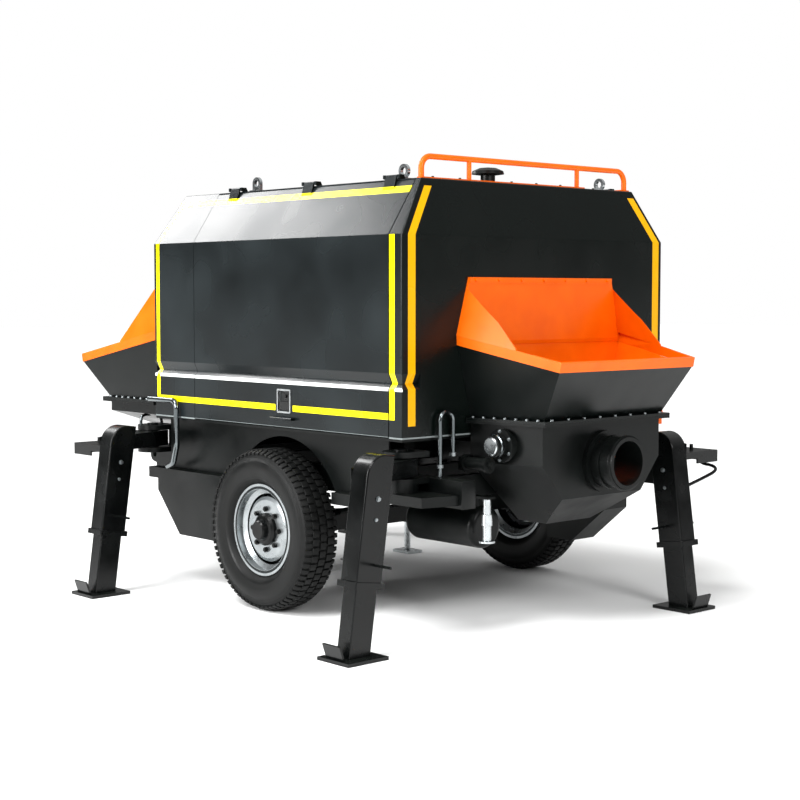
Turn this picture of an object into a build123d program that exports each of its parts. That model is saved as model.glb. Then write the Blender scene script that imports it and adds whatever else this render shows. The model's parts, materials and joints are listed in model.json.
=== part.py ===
from build123d import *
import os
from math import cos, radians, sin, tan

# A towable concrete pump: a canopied power pack on one axle, with a charging hopper at each end
# and four outrigger stands. Millimetres, +Z up, +X towards the delivery end, -Y the left side.
# The model is drawn about the middle of the canopy. Each piece is then moved so that the origin
# lies on the ground in the middle of the parked machine's box.

# Canopy
half_length = 960.0
half_width = 884.0
deck_top = 878.0
fold_z = 1768.0
roof_z = 2020.0
end_inset = 58.0
side_inset = 165.0
panel = 30.0
edge_round = 8.0
front_seam_x = -601.0
rear_seam_x = 873.0
post_seam_y = 775.0
door_gap = 6.0
fixed_gap = 0.4
groove_depth = 20.0
groove_z = (1165.0, 1120.0, 1095.0)

# Door hinges
hinge_rise = 12.0
hinge_pin_r = 5.0
hinge_barrel_r = 8.0
hinge_length = 110.0
hinge_places = (-450.0, 136.0, 720.0)
running = 0.05
moving = 5.0

# Latches
latch_x = 132.0
latch_z = 1006.0
latch_width = 104.0
latch_height = 114.0
latch_depth = 14.0
pull_half = 82.0
pull_z = 924.0
pull_reach = 20.0
pull_r = 6.0

# Chassis
deck = 12.0
deck_margin = 4.0
seat = 0.3
rail_y = 680.0
rail_width = 80.0
rail_top = 700.0
rail_height = 120.0
rail_wall = 8.0
rail_front = 1200.0
rail_rear = 1160.0
cross_width = 70.0
cross_places = (-900.0, -480.0, 480.0, 900.0)
skirt_y = 800.0
skirt = 8.0
skirt_low = 600.0
skirt_front = 940.0
skirt_rear = 780.0
beam_width = 60.0
beam_height = 55.0
apron_low = 430.0

# Wheels and axle
wheel_x = 20.0
tyre_r = 387.5
tyre_width = 200.0
wheel_face = 968.0
bead_r = 205.0
bead_half = 62.0
rim_lip_r = 220.0
rim_plate = 8.0
disc_out = 26.0
disc_plate = 10.0
hub_hole_r = 78.0
hub_cap_r = 46.0
stud_circle_r = 98.0
stud_count = 8
stud_r = 8.0
nut_r = 13.0
arch_r = 440.0
axle_size = 80.0
spindle_r = 30.0
spring_y = 620.0
spring_width = 64.0
spring_half = 420.0
leaf = 10.0

# Hoppers, measured outward from the end wall
wall_gap = 0.3
plate = 8.0
rim_bar = 14.0
rim_height = 45.0
guard_strip = 26.0
flange = 12.0
flange_lip = 30.0
rear_rim = (1328.0, 1217.0, 540.0, 560.0, 460.0)
rear_guard = (1585.0, 310.0, 485.0)
rear_throat = (955.0, 390.0, 470.0, 400.0)
front_rim = (1318.0, 1180.0, 735.0, 880.0, 880.0)
front_guard = (1575.0, 345.0, 850.0)
front_throat = (955.0, 470.0, 862.0, 862.0)
box_low = 460.0
box_bend = 754.0
box_low_half = 152.0
floor_front_z = 600.0
floor_rear_x = 175.0
front_box_bend = 880.0
front_box_waist = (420.0, 740.0)

# Agitator and delivery outlet
agitator_x = 190.0
agitator_z = 840.0
agitator_r = 25.0
bearing_boss_r = 62.0
paddle_r = 105.0
outlet_z = 755.0
outlet_bore_r = 100.0
outlet_r = 117.0
outlet_flange_r = 139.0
outlet_reach = 530.0

# Outrigger stands
arm_pivot_x = 880.0
front_arm_pivot_x = 1080.0
arm_pivot_y = 820.0
arm_low = 712.0
arm_height = 78.0
step_height = 33.0
step_lip = 25.0
lip_start = 160.0
knob_x = 330.0
knob_r = 9.0
arm_pin_r = 30.0
arm_boss_r = 80.0
lug = 25.0
web = 14.0
web_length = 60.0
shelf_low = 594.0
shelf = 44.0
shelf_root = 262.0
shelf_tip = 222.0
foot_out = 465.0
leg_side = 220.0
leg_lean = 8.0
leg_top = 850.0
leg_wide = 140.0
leg_thin = 105.0
leg_shoulder = 95.0
collar_low = 300.0
collar_height = 26.0
collar_lip = 10.0
foot_wide = 118.0
foot_thin = 83.0
foot_top = 590.0
foot_travel = 180.0
slide_fit = 0.3
handle_z = 392.0
handle_r = 6.0
handle_reach = 110.0
pin_reach = 100.0
foot_plate = (220.0, 200.0, 15.0)

# Tow lugs on the front ends of the rails
tow_z = 640.0
tow_bore_r = 16.0

# Drain rod under the rear cross member
rod_x = 1040.0
rod_y = -440.0
rod_top = 590.0

# Origin of the written pieces
rear_reach = half_length + rear_rim[2]
front_reach = half_length + front_rim[2]
left_reach = arm_pivot_y + foot_out + foot_plate[0] / 2 + 10.0
right_reach = arm_pivot_y + leg_side + leg_thin / 2 + pin_reach - 1.0
origin_x = (rear_reach - front_reach) / 2
origin_y = (right_reach - left_reach) / 2

lean = radians(leg_lean)
pieces = {}


def point_on(base, x, y, z):
    """A point given in the frame of a base plane."""
    return base.from_local_coords((x, y, z))


def flat_plane(base, x, y, z):
    """A level plane in the frame of a base plane."""
    return Plane(origin=point_on(base, x, y, z), x_dir=base.x_dir, z_dir=base.z_dir)


def side_plane(base, y):
    """The upright plane along a base plane's X, seen from its -Y side, at a given y."""
    return Plane(origin=point_on(base, 0, y, 0), x_dir=base.x_dir, z_dir=-base.y_dir)


def end_plane(base, x):
    """The upright plane across a base plane's X, facing outward, at a given x."""
    return Plane(origin=point_on(base, x, 0, 0), x_dir=base.y_dir, z_dir=base.x_dir)


rear_end = Plane(origin=(half_length, 0, 0), x_dir=(1, 0, 0), z_dir=(0, 0, 1))
front_end = Plane(origin=(-half_length, 0, 0), x_dir=(-1, 0, 0), z_dir=(0, 0, 1))


def groove_outline(face, out):
    """The V of the pressed groove, cut into a face that looks along +1 or -1."""
    Polygon(
        (face + out, groove_z[0] + 1),
        (face - out * groove_depth, groove_z[1]),
        (face + out, groove_z[2] - 1),
        align=None,
    )


# Canopy shell, which the panels and doors are cut from
with BuildPart() as shell:
    with BuildSketch(Plane.XY.offset(deck_top)):
        Rectangle(2 * half_length, 2 * half_width)
    extrude(amount=fold_z - deck_top)
    with BuildSketch(Plane.XY.offset(fold_z)):
        Rectangle(2 * half_length, 2 * half_width)
    with BuildSketch(Plane.XY.offset(roof_z)):
        Rectangle(2 * (half_length - end_inset), 2 * (half_width - side_inset))
    loft()
    offset(amount=-panel, openings=shell.faces().sort_by(Axis.Z)[0])
    outer_edges = shell.edges().filter_by(lambda e: e.center().Z > deck_top + 1)
    outer_edges = outer_edges.filter_by(
        lambda e: abs(e.center().Y) > half_width - 1
        or abs(e.center().X) > half_length - 1
        or e.center().Z > roof_z - 1
        or (abs(e.center().X) > half_length - end_inset and abs(e.center().Y) > half_width - side_inset)
    )
    fillet(outer_edges, edge_round)
    for side in (-1, 1):
        with BuildSketch(Plane.YZ.offset(-half_length - 1)):
            groove_outline(side * half_width, side)
        extrude(amount=2 * half_length + 2, mode=Mode.SUBTRACT)
        for end in (-1, 1):
            with BuildSketch(Plane.XZ.offset(-side * post_seam_y)):
                groove_outline(end * half_length, end)
            extrude(amount=-side * (half_width - post_seam_y), mode=Mode.SUBTRACT)


def cut_panel(*plots):
    """Cut a panel out of the canopy shell by its plots in plan, each (x0, y0, x1, y1)."""
    with BuildPart() as cut:
        add(shell.part)
        with BuildSketch(Plane.XY.offset(deck_top - 1)):
            for x0, y0, x1, y1 in plots:
                with Locations(((x0 + x1) / 2, (y0 + y1) / 2)):
                    Rectangle(abs(x1 - x0), abs(y1 - y0))
        extrude(amount=roof_z - deck_top + 2, mode=Mode.INTERSECT)
    return cut


def both_sides(x0, y0, x1, y1):
    """A plot on the right side and its mirror image on the left."""
    return (x0, y0, x1, y1), (x0, -y1, x1, -y0)


roof_edge_y = half_width - side_inset
beyond = half_length + 10
beside = half_width + 10
end_cut = half_length - end_inset - panel + 4
pieces["front_wall"] = cut_panel((-beyond, -post_seam_y, -end_cut, post_seam_y))
pieces["rear_wall"] = cut_panel((rear_seam_x + door_gap / 2, -post_seam_y, beyond, post_seam_y))
pieces["front_side_panels"] = cut_panel(
    *both_sides(-beyond, post_seam_y + fixed_gap, front_seam_x, beside),
    *both_sides(fixed_gap - end_cut, roof_edge_y + fixed_gap, front_seam_x, beside),
)
pieces["rear_corner_posts"] = cut_panel(
    *both_sides(rear_seam_x + door_gap / 2, post_seam_y + fixed_gap, beyond, beside)
)

# Roof, with the pins that the doors turn on
hinge_y = roof_edge_y + 5.0
hinge_z = roof_z + hinge_rise
tab = 14.0
roof_plot = (fixed_gap - end_cut, -roof_edge_y, rear_seam_x + door_gap / 2 - fixed_gap, roof_edge_y)
with BuildPart() as canopy_roof:
    add(cut_panel(roof_plot).part)
    for side in (-1, 1):
        for place in hinge_places:
            pin_plane = Plane.YZ.offset(place - hinge_length / 2)
            with BuildSketch(pin_plane):
                with Locations((side * hinge_y, hinge_z)):
                    Circle(hinge_pin_r)
            extrude(amount=hinge_length)
            for start in (-hinge_length / 2, hinge_length / 2 - tab):
                with BuildSketch(Plane.YZ.offset(place + start)):
                    with BuildLine():
                        Polyline(
                            (side * (hinge_y + hinge_barrel_r), hinge_z + hinge_barrel_r),
                            (side * (hinge_y + hinge_barrel_r), hinge_z - hinge_barrel_r),
                            (side * (roof_edge_y - 1), roof_z),
                            (side * (roof_edge_y - 24), roof_z - 1),
                            (side * (roof_edge_y - 24), roof_z + 4),
                            (side * (hinge_y - hinge_barrel_r - 12), hinge_z + hinge_barrel_r),
                            close=True,
                        )
                    make_face()
                extrude(amount=tab)
pieces["canopy_roof"] = canopy_roof

# Gull-wing doors: the whole side with its chamfer, hinged at the roof edge
knuckle = hinge_length - 2 * tab - 2 * moving
chamfer_slope = (fold_z - roof_z) / side_inset


def side_door(side):
    """One long side door with its grooved face, latch pocket and hinge knuckles."""
    inner_y = roof_edge_y + door_gap
    plots = both_sides(front_seam_x + door_gap / 2, inner_y, rear_seam_x - door_gap / 2, beside)
    with BuildPart() as door:
        add(cut_panel(plots[0] if side > 0 else plots[1]).part)
        with BuildSketch(Plane.XY.offset(deck_top - 1)):
            with Locations((0, side * half_width)):
                Rectangle(4 * half_length, 4 * panel)
        extrude(amount=1 + moving, mode=Mode.SUBTRACT)
        with BuildSketch(Plane.XZ.offset(-side * half_width)):
            with Locations((latch_x, latch_z)):
                RectangleRounded(latch_width, latch_height, 8)
        extrude(amount=side * latch_depth, mode=Mode.SUBTRACT)
        with BuildSketch(Plane.YZ.offset(latch_x - pull_half)):
            with Locations((side * (half_width + pull_reach), pull_z)):
                Circle(pull_r)
        extrude(amount=2 * pull_half)
        for end in (pull_r - pull_half, pull_half - pull_r):
            with BuildSketch(Plane.XZ.offset(-side * (half_width - 2))):
                with Locations((latch_x + end, pull_z)):
                    Rectangle(2 * pull_r, 2 * pull_r)
            extrude(amount=-side * (pull_reach + 2))
        for place in hinge_places:
            with BuildSketch(Plane.YZ.offset(place - knuckle / 2)):
                with BuildLine():
                    Polyline(
                        (side * (hinge_y + 2), hinge_z),
                        (side * (hinge_y + hinge_barrel_r), hinge_z),
                        (side * (roof_edge_y + 30), roof_z + 30 * chamfer_slope + 3),
                        (side * (roof_edge_y + 30), roof_z + 30 * chamfer_slope - 6),
                        (side * (inner_y + 2), roof_z - 8),
                        close=True,
                    )
                make_face()
                with Locations((side * hinge_y, hinge_z)):
                    Circle(hinge_barrel_r)
            extrude(amount=knuckle)
            with BuildSketch(Plane.YZ.offset(place - hinge_length)):
                with Locations((side * hinge_y, hinge_z)):
                    Circle(hinge_pin_r + running)
            extrude(amount=2 * hinge_length, mode=Mode.SUBTRACT)
    return door


def side_latch(side):
    """A paddle latch that lies in the pocket of a side door."""
    face = side * (half_width - latch_depth)
    with BuildPart() as latch:
        with BuildSketch(Plane.XZ.offset(-face)):
            with Locations((latch_x, latch_z)):
                RectangleRounded(latch_width - 1, latch_height - 1, 7.5)
                RectangleRounded(latch_width - 16, latch_height - 16, 4, mode=Mode.SUBTRACT)
        extrude(amount=-side * (latch_depth + 3))
        with BuildSketch(Plane.XZ.offset(-face)):
            with Locations((latch_x, latch_z)):
                Rectangle(latch_width - 10, latch_height - 10)
        extrude(amount=-side * 3)
        with BuildSketch(Plane.XZ.offset(-face)):
            with Locations((latch_x, latch_z - latch_height / 5)):
                RectangleRounded(latch_width - 26, latch_height / 3, 4)
        extrude(amount=-side * (latch_depth - 1))
        with BuildSketch(Plane.XZ.offset(-face)):
            with Locations((latch_x, latch_z + latch_height / 5)):
                Circle(9)
        extrude(amount=-side * (latch_depth - 4))
    return latch


for side, name in ((-1, "left"), (1, "right")):
    pieces[f"door_{name}"] = side_door(side)
    pieces[f"latch_{name}"] = side_latch(side)

# Engine with its pumps, closed inside the canopy
with BuildPart() as engine_block:
    with BuildSketch(Plane.XY.offset(deck_top)):
        Rectangle(1250, 760)
    extrude(amount=760)
pieces["engine_block"] = engine_block

# Chassis: two box rails, cross members, the deck on its pedestals and the skirt outriggers
rail_low = rail_top - rail_height
rail_inner = rail_y - rail_width / 2
rail_outer = rail_y + rail_width / 2
deck_low = deck_top - deck
with BuildPart() as chassis_frame:
    for side in (-1, 1):
        with BuildSketch(Plane.YZ.offset(-rail_front)):
            with Locations((side * rail_y, rail_top - rail_height / 2)):
                Rectangle(rail_width, rail_height)
                Rectangle(rail_width - 2 * rail_wall, rail_height - 2 * rail_wall, mode=Mode.SUBTRACT)
        extrude(amount=rail_front + rail_rear)
    for place in cross_places:
        with BuildSketch(Plane.XZ.offset(-rail_inner)):
            with Locations((place, rail_top - rail_height / 2)):
                Rectangle(cross_width, rail_height - 20)
        extrude(amount=2 * rail_inner)
    with BuildSketch(Plane.XY.offset(rod_top + seat)):
        with Locations(((cross_places[-1] + rod_x + 28) / 2, rod_y)):
            Rectangle(rod_x + 28 - cross_places[-1], 50)
    extrude(amount=10)
pieces["chassis_frame"] = chassis_frame

# Deck under the canopy, the pedestals that carry it and the brackets that carry the skirts
with BuildPart() as deck_plate:
    with BuildSketch(Plane.XY.offset(deck_low)):
        Rectangle(2 * half_length - 2 * deck_margin, 2 * half_width - 2 * deck_margin)
    extrude(amount=deck - seat)
pieces["deck_plate"] = deck_plate
with BuildPart() as deck_pedestals:
    for place in (-900, -480, 480, 740):
        for side in (-1, 1):
            with BuildSketch(Plane.XY.offset(rail_top + seat)):
                with Locations((place, side * rail_y)):
                    Rectangle(90, rail_width - 20)
            extrude(amount=deck_low - rail_top - 2 * seat)
    for place in (-880, -520, 520, 740):
        for side in (-1, 1):
            with BuildSketch(Plane.XZ.offset(-side * (rail_outer + seat))):
                with Locations((place, skirt_low + 30)):
                    Rectangle(40, 50)
            extrude(amount=-side * (skirt_y - skirt - rail_outer - 2 * seat))
pieces["deck_pedestals"] = deck_pedestals


# Skirts below the canopy, each with its wheel arch, side beams and the front apron
def side_skirt(side):
    """One recessed skirt panel with the beams along its foot."""
    outer = side * skirt_y
    with BuildPart() as panel_part:
        with BuildSketch(Plane.XZ.offset(-outer)):
            with BuildLine():
                Polyline(
                    (-skirt_front, skirt_low - beam_height),
                    (skirt_rear, skirt_low - beam_height),
                    (skirt_rear, deck_low),
                    (-skirt_front, deck_low),
                    close=True,
                )
            make_face()
            with Locations((wheel_x, tyre_r)):
                Circle(arch_r, mode=Mode.SUBTRACT)
        extrude(amount=side * skirt)
        reach = (arch_r**2 - (skirt_low - beam_height - tyre_r) ** 2) ** 0.5 + 12
        for x0, x1 in ((-skirt_front - 130, wheel_x - reach), (wheel_x + reach, skirt_rear)):
            with BuildSketch(Plane.YZ.offset(x0)):
                with Locations((side * (skirt_y + beam_width / 2 - 6), skirt_low - beam_height / 2)):
                    Rectangle(beam_width, beam_height)
            extrude(amount=x1 - x0)
        with BuildSketch(Plane.XZ.offset(-outer)):
            with BuildLine():
                Polyline(
                    (-skirt_front + 120, skirt_low - beam_height + 4),
                    (wheel_x - reach, skirt_low - beam_height + 4),
                    (wheel_x - reach, apron_low + 40),
                    (wheel_x - reach - 30, apron_low),
                    (-skirt_front + 120, apron_low),
                    close=True,
                )
            make_face()
        extrude(amount=side * skirt)
    return panel_part


with BuildPart() as side_skirts:
    add(side_skirt(-1).part)
    add(side_skirt(1).part)
pieces["side_skirts"] = side_skirts

# Axle beam with its spindles, and the leaf springs under the rails
wheel_inner = wheel_face - tyre_width
spindle_end = wheel_face - 60
axle_half = wheel_inner - 60
with BuildPart() as axle_beam:
    with BuildSketch(Plane.XZ.offset(-axle_half)):
        with Locations((wheel_x, tyre_r)):
            Rectangle(axle_size, axle_size)
    extrude(amount=2 * axle_half)
    with BuildSketch(Plane.XZ.offset(-spindle_end)):
        with Locations((wheel_x, tyre_r)):
            Circle(spindle_r)
    extrude(amount=2 * spindle_end)
pieces["axle_beam"] = axle_beam

spring_low = tyre_r + axle_size / 2
hanger_z = rail_low - 45
with BuildPart() as leaf_springs:
    for side in (-1, 1):
        start = side * spring_y + spring_width / 2
        with BuildSketch(Plane.XZ.offset(-start)):
            for count in range(4):
                half = spring_half * (1 - 0.2 * count)
                rise = (hanger_z - spring_low - 4 * leaf) * (1 - 0.2 * count) ** 2
                low = spring_low + (3 - count) * leaf
                with BuildLine():
                    lower = ThreePointArc(
                        (wheel_x - half, low + rise), (wheel_x, low), (wheel_x + half, low + rise)
                    )
                    upper = ThreePointArc(
                        (wheel_x - half, low + leaf + rise),
                        (wheel_x, low + leaf),
                        (wheel_x + half, low + leaf + rise),
                    )
                    Line(lower @ 0, upper @ 0)
                    Line(lower @ 1, upper @ 1)
                make_face()
            for end in (-1, 1):
                with Locations((wheel_x + end * (spring_half - 20), (hanger_z + rail_low) / 2)):
                    Rectangle(50, rail_low - hanger_z + 40)
        extrude(amount=spring_width)
        with BuildSketch(Plane.XY.offset(rail_low)):
            with Locations((wheel_x, side * spring_y)):
                Rectangle(2 * spring_half + 60, spring_width * 3)
        extrude(amount=60, mode=Mode.SUBTRACT)
pieces["leaf_springs"] = leaf_springs


# Wheels: each is drawn about the X axis of a plane that faces outward
def wheel_plane(side):
    """The plane through an axle's end whose Z runs outward along the axle."""
    face = side * (wheel_face - tyre_width / 2)
    return Plane(origin=(wheel_x, face, tyre_r), x_dir=(1, 0, 0), z_dir=(0, side, 0))


def turned(base, outline):
    """Revolve a closed outline of (radius, outward) points about a wheel's axle."""
    section = Plane(origin=base.origin, x_dir=base.x_dir, z_dir=-base.y_dir)
    with BuildPart() as body:
        with BuildSketch(section):
            with BuildLine():
                Polyline(*outline, close=True)
            make_face()
        revolve(axis=Axis(base.origin, base.z_dir))
    return body


def tyre(side):
    """A road tyre with bulged walls, a square shoulder and a bead that sits on the rim."""
    base = wheel_plane(side)
    section = Plane(origin=base.origin, x_dir=base.x_dir, z_dir=-base.y_dir)
    half = tyre_width / 2
    outline = [
        (bead_r, bead_half),
        (bead_r + 20, bead_half),
        (bead_r + 34, half - 16),
        (bead_r + 58, half - 4),
        (bead_r + 92, half),
        (bead_r + 126, half - 3),
        (tyre_r - 28, half - 10),
        (tyre_r - 7, half - 26),
        (tyre_r - 2, half - 56),
        (tyre_r, half - 84),
    ]
    mirrored = [(radius, -outward) for radius, outward in reversed(outline)]
    with BuildPart() as body:
        with BuildSketch(section):
            with BuildLine():
                Polyline(*outline, *mirrored, close=True)
            make_face()
        revolve(axis=Axis(base.origin, base.z_dir))
    return body


def rim(side):
    """A disc wheel: flanged rim, drop centre, dished disc, stud and centre holes."""
    base = wheel_plane(side)
    seat = bead_r - 0.3
    lip = bead_half + 0.3
    outline = [
        (rim_lip_r, lip + 7),
        (rim_lip_r, lip),
        (seat, lip),
        (seat, lip - 34),
        (seat - 26, lip - 48),
        (seat - 26, 30 - lip),
        (seat, 16 - lip),
        (seat, -lip),
        (rim_lip_r, -lip),
        (rim_lip_r, -lip - 7),
        (seat - 10, -lip - 7),
        (seat - 10, 12 - lip),
        (seat - 26 - rim_plate, 26 - lip),
        (seat - 26 - rim_plate, -14),
        (150, 14),
        (136, disc_out),
        (hub_hole_r, disc_out),
        (hub_hole_r, disc_out + disc_plate),
        (140, disc_out + disc_plate),
        (156, disc_out),
        (seat - 34, 2),
        (seat - 26 - rim_plate, 6),
        (seat - 26 - rim_plate, lip - 40),
        (seat - 10, lip - 28),
        (seat - 10, lip + 7),
    ]
    with BuildPart() as disc:
        add(turned(base, outline).part)
        with BuildSketch(base.offset(10)):
            with PolarLocations(stud_circle_r, stud_count):
                Circle(stud_r + moving / 10)
        extrude(amount=40, mode=Mode.SUBTRACT)
    return disc


def hub(side):
    """The hub on its spindle, with its flange behind the disc, its cap and the wheel nuts."""
    base = wheel_plane(side)
    bore = spindle_r + running
    stop = axle_half - (wheel_face - tyre_width / 2) + 6
    spindle_tip = spindle_end - (wheel_face - tyre_width / 2)
    outline = [
        (bore, stop),
        (52, stop),
        (62, -20),
        (130, 0),
        (130, disc_out - seat),
        (hub_hole_r - seat, disc_out - seat),
        (hub_hole_r - seat, 52),
        (hub_hole_r - 12, 62),
        (hub_cap_r + 6, 66),
        (hub_cap_r, 88),
        (hub_cap_r - 6, 94),
        (0, 94),
        (0, spindle_tip + 8),
        (bore, spindle_tip + 8),
    ]
    with BuildPart() as body:
        add(turned(base, outline).part)
        with BuildSketch(base.offset(disc_out + disc_plate + seat)):
            with PolarLocations(stud_circle_r, stud_count):
                RegularPolygon(nut_r, 6)
        extrude(amount=14)
        with BuildSketch(base.offset(disc_out - 6)):
            with PolarLocations(stud_circle_r, stud_count):
                Circle(stud_r)
        extrude(amount=34)
    return body


for side, name in ((-1, "left"), (1, "right")):
    pieces[f"tyre_{name}"] = tyre(side)
    pieces[f"rim_{name}"] = rim(side)
    pieces[f"hub_{name}"] = hub(side)


# Hoppers
def rim_plane(base, rim_sizes, drop):
    """The sloping plane of a hopper rim, a given distance below its top face."""
    back_z, front_z, reach = rim_sizes[:3]
    top = Plane(
        origin=point_on(base, 0, 0, back_z),
        x_dir=point_on(base, reach, 0, front_z) - point_on(base, 0, 0, back_z),
        z_dir=base.z_dir * reach + base.x_dir * (back_z - front_z),
    )
    return top.offset(-drop)


def behind_wall(base):
    """A block that fills the canopy side of an end wall, for trimming what stands on the wall."""
    with BuildPart() as block:
        with BuildSketch(end_plane(base, wall_gap)):
            Rectangle(6 * half_width, 6 * half_width)
        extrude(amount=-half_length)
    return block


def trapezoid(x0, half0, x1, half1):
    """A four-cornered plan outline, half0 wide each side at x0 and half1 at x1."""
    Polygon((x0, -half0), (x1, -half1), (x1, half1), (x0, half0), align=None)


def hopper_rim(base, rim_sizes, guard_sizes):
    """The rim bar with the splash guard that stands on it."""
    back_z, front_z, reach, back_half, front_half = rim_sizes
    guard_top, guard_reach, guard_half = guard_sizes
    slope = (front_z - back_z) / reach
    length = (reach**2 + (back_z - front_z) ** 2) ** 0.5
    foot_z = back_z + slope * guard_reach
    foot_half = back_half + (front_half - back_half) * guard_reach / reach
    inner_back = back_half - rim_bar
    with BuildPart() as body:
        with BuildSketch(rim_plane(base, rim_sizes, 0)):
            trapezoid(-20, back_half, length, front_half)
        extrude(amount=-rim_height)
        with BuildSketch(rim_plane(base, rim_sizes, -1)):
            trapezoid(2 + rim_bar, inner_back, length - rim_bar, front_half - rim_bar)
        extrude(amount=-rim_height - 2, mode=Mode.SUBTRACT)
        with BuildSketch(end_plane(base, wall_gap)):
            with BuildLine():
                Polyline(
                    (-back_half + 2, back_z - 2),
                    (back_half - 2, back_z - 2),
                    (guard_half, guard_top),
                    (-guard_half, guard_top),
                    close=True,
                )
            make_face()
        with BuildSketch(end_plane(base, guard_reach)):
            with BuildLine():
                Polyline(
                    (-foot_half + 2, foot_z - 2),
                    (foot_half - 2, foot_z - 2),
                    (foot_half - 3, foot_z + 6),
                    (3 - foot_half, foot_z + 6),
                    close=True,
                )
            make_face()
        loft()
        with BuildSketch(end_plane(base, 2 + plate)):
            with BuildLine():
                Polyline(
                    (plate + 6 - back_half, back_z - rim_height - 20),
                    (back_half - plate - 6, back_z - rim_height - 20),
                    (guard_half - plate, guard_top + 60),
                    (plate - guard_half, guard_top + 60),
                    close=True,
                )
            make_face()
        with BuildSketch(end_plane(base, guard_reach + 80)):
            with BuildLine():
                Polyline(
                    (plate + 10 - foot_half, foot_z - rim_height - 40),
                    (foot_half - plate - 10, foot_z - rim_height - 40),
                    (foot_half - plate - 10, foot_z + 60),
                    (plate + 10 - foot_half, foot_z + 60),
                    close=True,
                )
            make_face()
        loft(mode=Mode.SUBTRACT)
        with BuildSketch(end_plane(base, wall_gap)):
            with Locations((0, guard_top - guard_strip / 2)):
                Rectangle(2 * guard_half, guard_strip)
        extrude(amount=plate + 6)
        add(behind_wall(base).part, mode=Mode.SUBTRACT)
    return body


def hopper_funnel(base, rim_sizes, throat_sizes, hinge_x, hinge_z_at, lug_half):
    """The funnel between the rim and the throat flange, with the lugs that carry the grate."""
    back_z, front_z, reach, back_half, front_half = rim_sizes
    throat_z, throat_x, throat_back, throat_front = throat_sizes
    length = (reach**2 + (back_z - front_z) ** 2) ** 0.5
    with BuildPart() as body:
        with BuildSketch(rim_plane(base, rim_sizes, rim_height)):
            trapezoid(-20, back_half - 4, length - 4, front_half - 4)
        with BuildSketch(flat_plane(base, 0, 0, throat_z)):
            trapezoid(-20, throat_back, throat_x, throat_front)
        loft()
        with BuildSketch(rim_plane(base, rim_sizes, rim_height)):
            trapezoid(4 + plate, back_half - 4 - plate, length - 4 - plate, front_half - 4 - plate)
        with BuildSketch(flat_plane(base, 0, 0, throat_z)):
            trapezoid(4 + plate, throat_back - plate, throat_x - plate, throat_front - plate)
        loft(mode=Mode.SUBTRACT)
        with BuildSketch(flat_plane(base, 0, 0, throat_z - flange)):
            trapezoid(4, throat_back + flange_lip, throat_x + flange_lip, throat_front + flange_lip)
        extrude(amount=flange)
        with BuildSketch(flat_plane(base, 0, 0, throat_z - flange - 1)):
            trapezoid(4 + plate, throat_back - plate, throat_x - plate, throat_front - plate)
        extrude(amount=flange + 2, mode=Mode.SUBTRACT)
        for y in (-lug_half, lug_half):
            with BuildSketch(side_plane(base, y - 6)):
                with BuildLine():
                    Polyline(
                        (4 + plate / 2, hinge_z_at - 22),
                        (hinge_x + 12, hinge_z_at - 12),
                        (hinge_x + 12, hinge_z_at + 12),
                        (4 + plate / 2, hinge_z_at + 22),
                        close=True,
                    )
                make_face()
                with Locations((hinge_x, hinge_z_at)):
                    Circle(8 + running, mode=Mode.SUBTRACT)
            extrude(amount=-12)
        add(behind_wall(base).part, mode=Mode.SUBTRACT)
    return body


def hopper_grate(base, grate_x, grate_z, reach, half, lug_half, pitch):
    """A grate of flat bars on a hinge rod, which lies across the throat."""
    with BuildPart() as body:
        with BuildSketch(side_plane(base, -half)):
            with Locations((grate_x, grate_z)):
                Circle(8)
        extrude(amount=-2 * half)
        count = int(2 * (half - 6) / pitch)
        for index in range(count + 1):
            y = -half + 6 + index * 2 * (half - 6) / count
            if abs(abs(y) - lug_half) > 6 + 4 + moving:
                with BuildSketch(side_plane(base, y - 4)):
                    with Locations((grate_x + reach / 2, grate_z)):
                        Rectangle(reach, 24)
                extrude(amount=-8)
        for x in (grate_x + 50, grate_x + reach - 4):
            with BuildSketch(end_plane(base, x - 4)):
                with Locations((0, grate_z)):
                    Rectangle(2 * half - 4, 20)
            extrude(amount=8)
    return body


grate_x = 34.0
rear_grate_z = 1010.0
pieces["rear_hopper_rim"] = hopper_rim(rear_end, rear_rim, rear_guard)
pieces["rear_hopper_funnel"] = hopper_funnel(rear_end, rear_rim, rear_throat, grate_x, rear_grate_z, 300)
pieces["rear_grate"] = hopper_grate(rear_end, grate_x, rear_grate_z, 330, 385, 300, 64)
pieces["front_hopper_rim"] = hopper_rim(front_end, front_rim, front_guard)
pieces["front_hopper_funnel"] = hopper_funnel(front_end, front_rim, front_throat, grate_x, rear_grate_z, 600)
pieces["front_grate"] = hopper_grate(front_end, grate_x, rear_grate_z, 420, 835, 600, 70)


def box_outline(half, bend, waist):
    """The end outline of a pump box: upright sides, then tapered down to its floor."""
    top = rear_throat[0] - flange - fixed_gap
    points = [(half, top), (half, bend)]
    if waist:
        points.append(waist)
    points.append((box_low_half, box_low))
    mirrored = [(-y, z) for y, z in reversed(points)]
    Polygon(*points, *mirrored, align=None)


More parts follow.
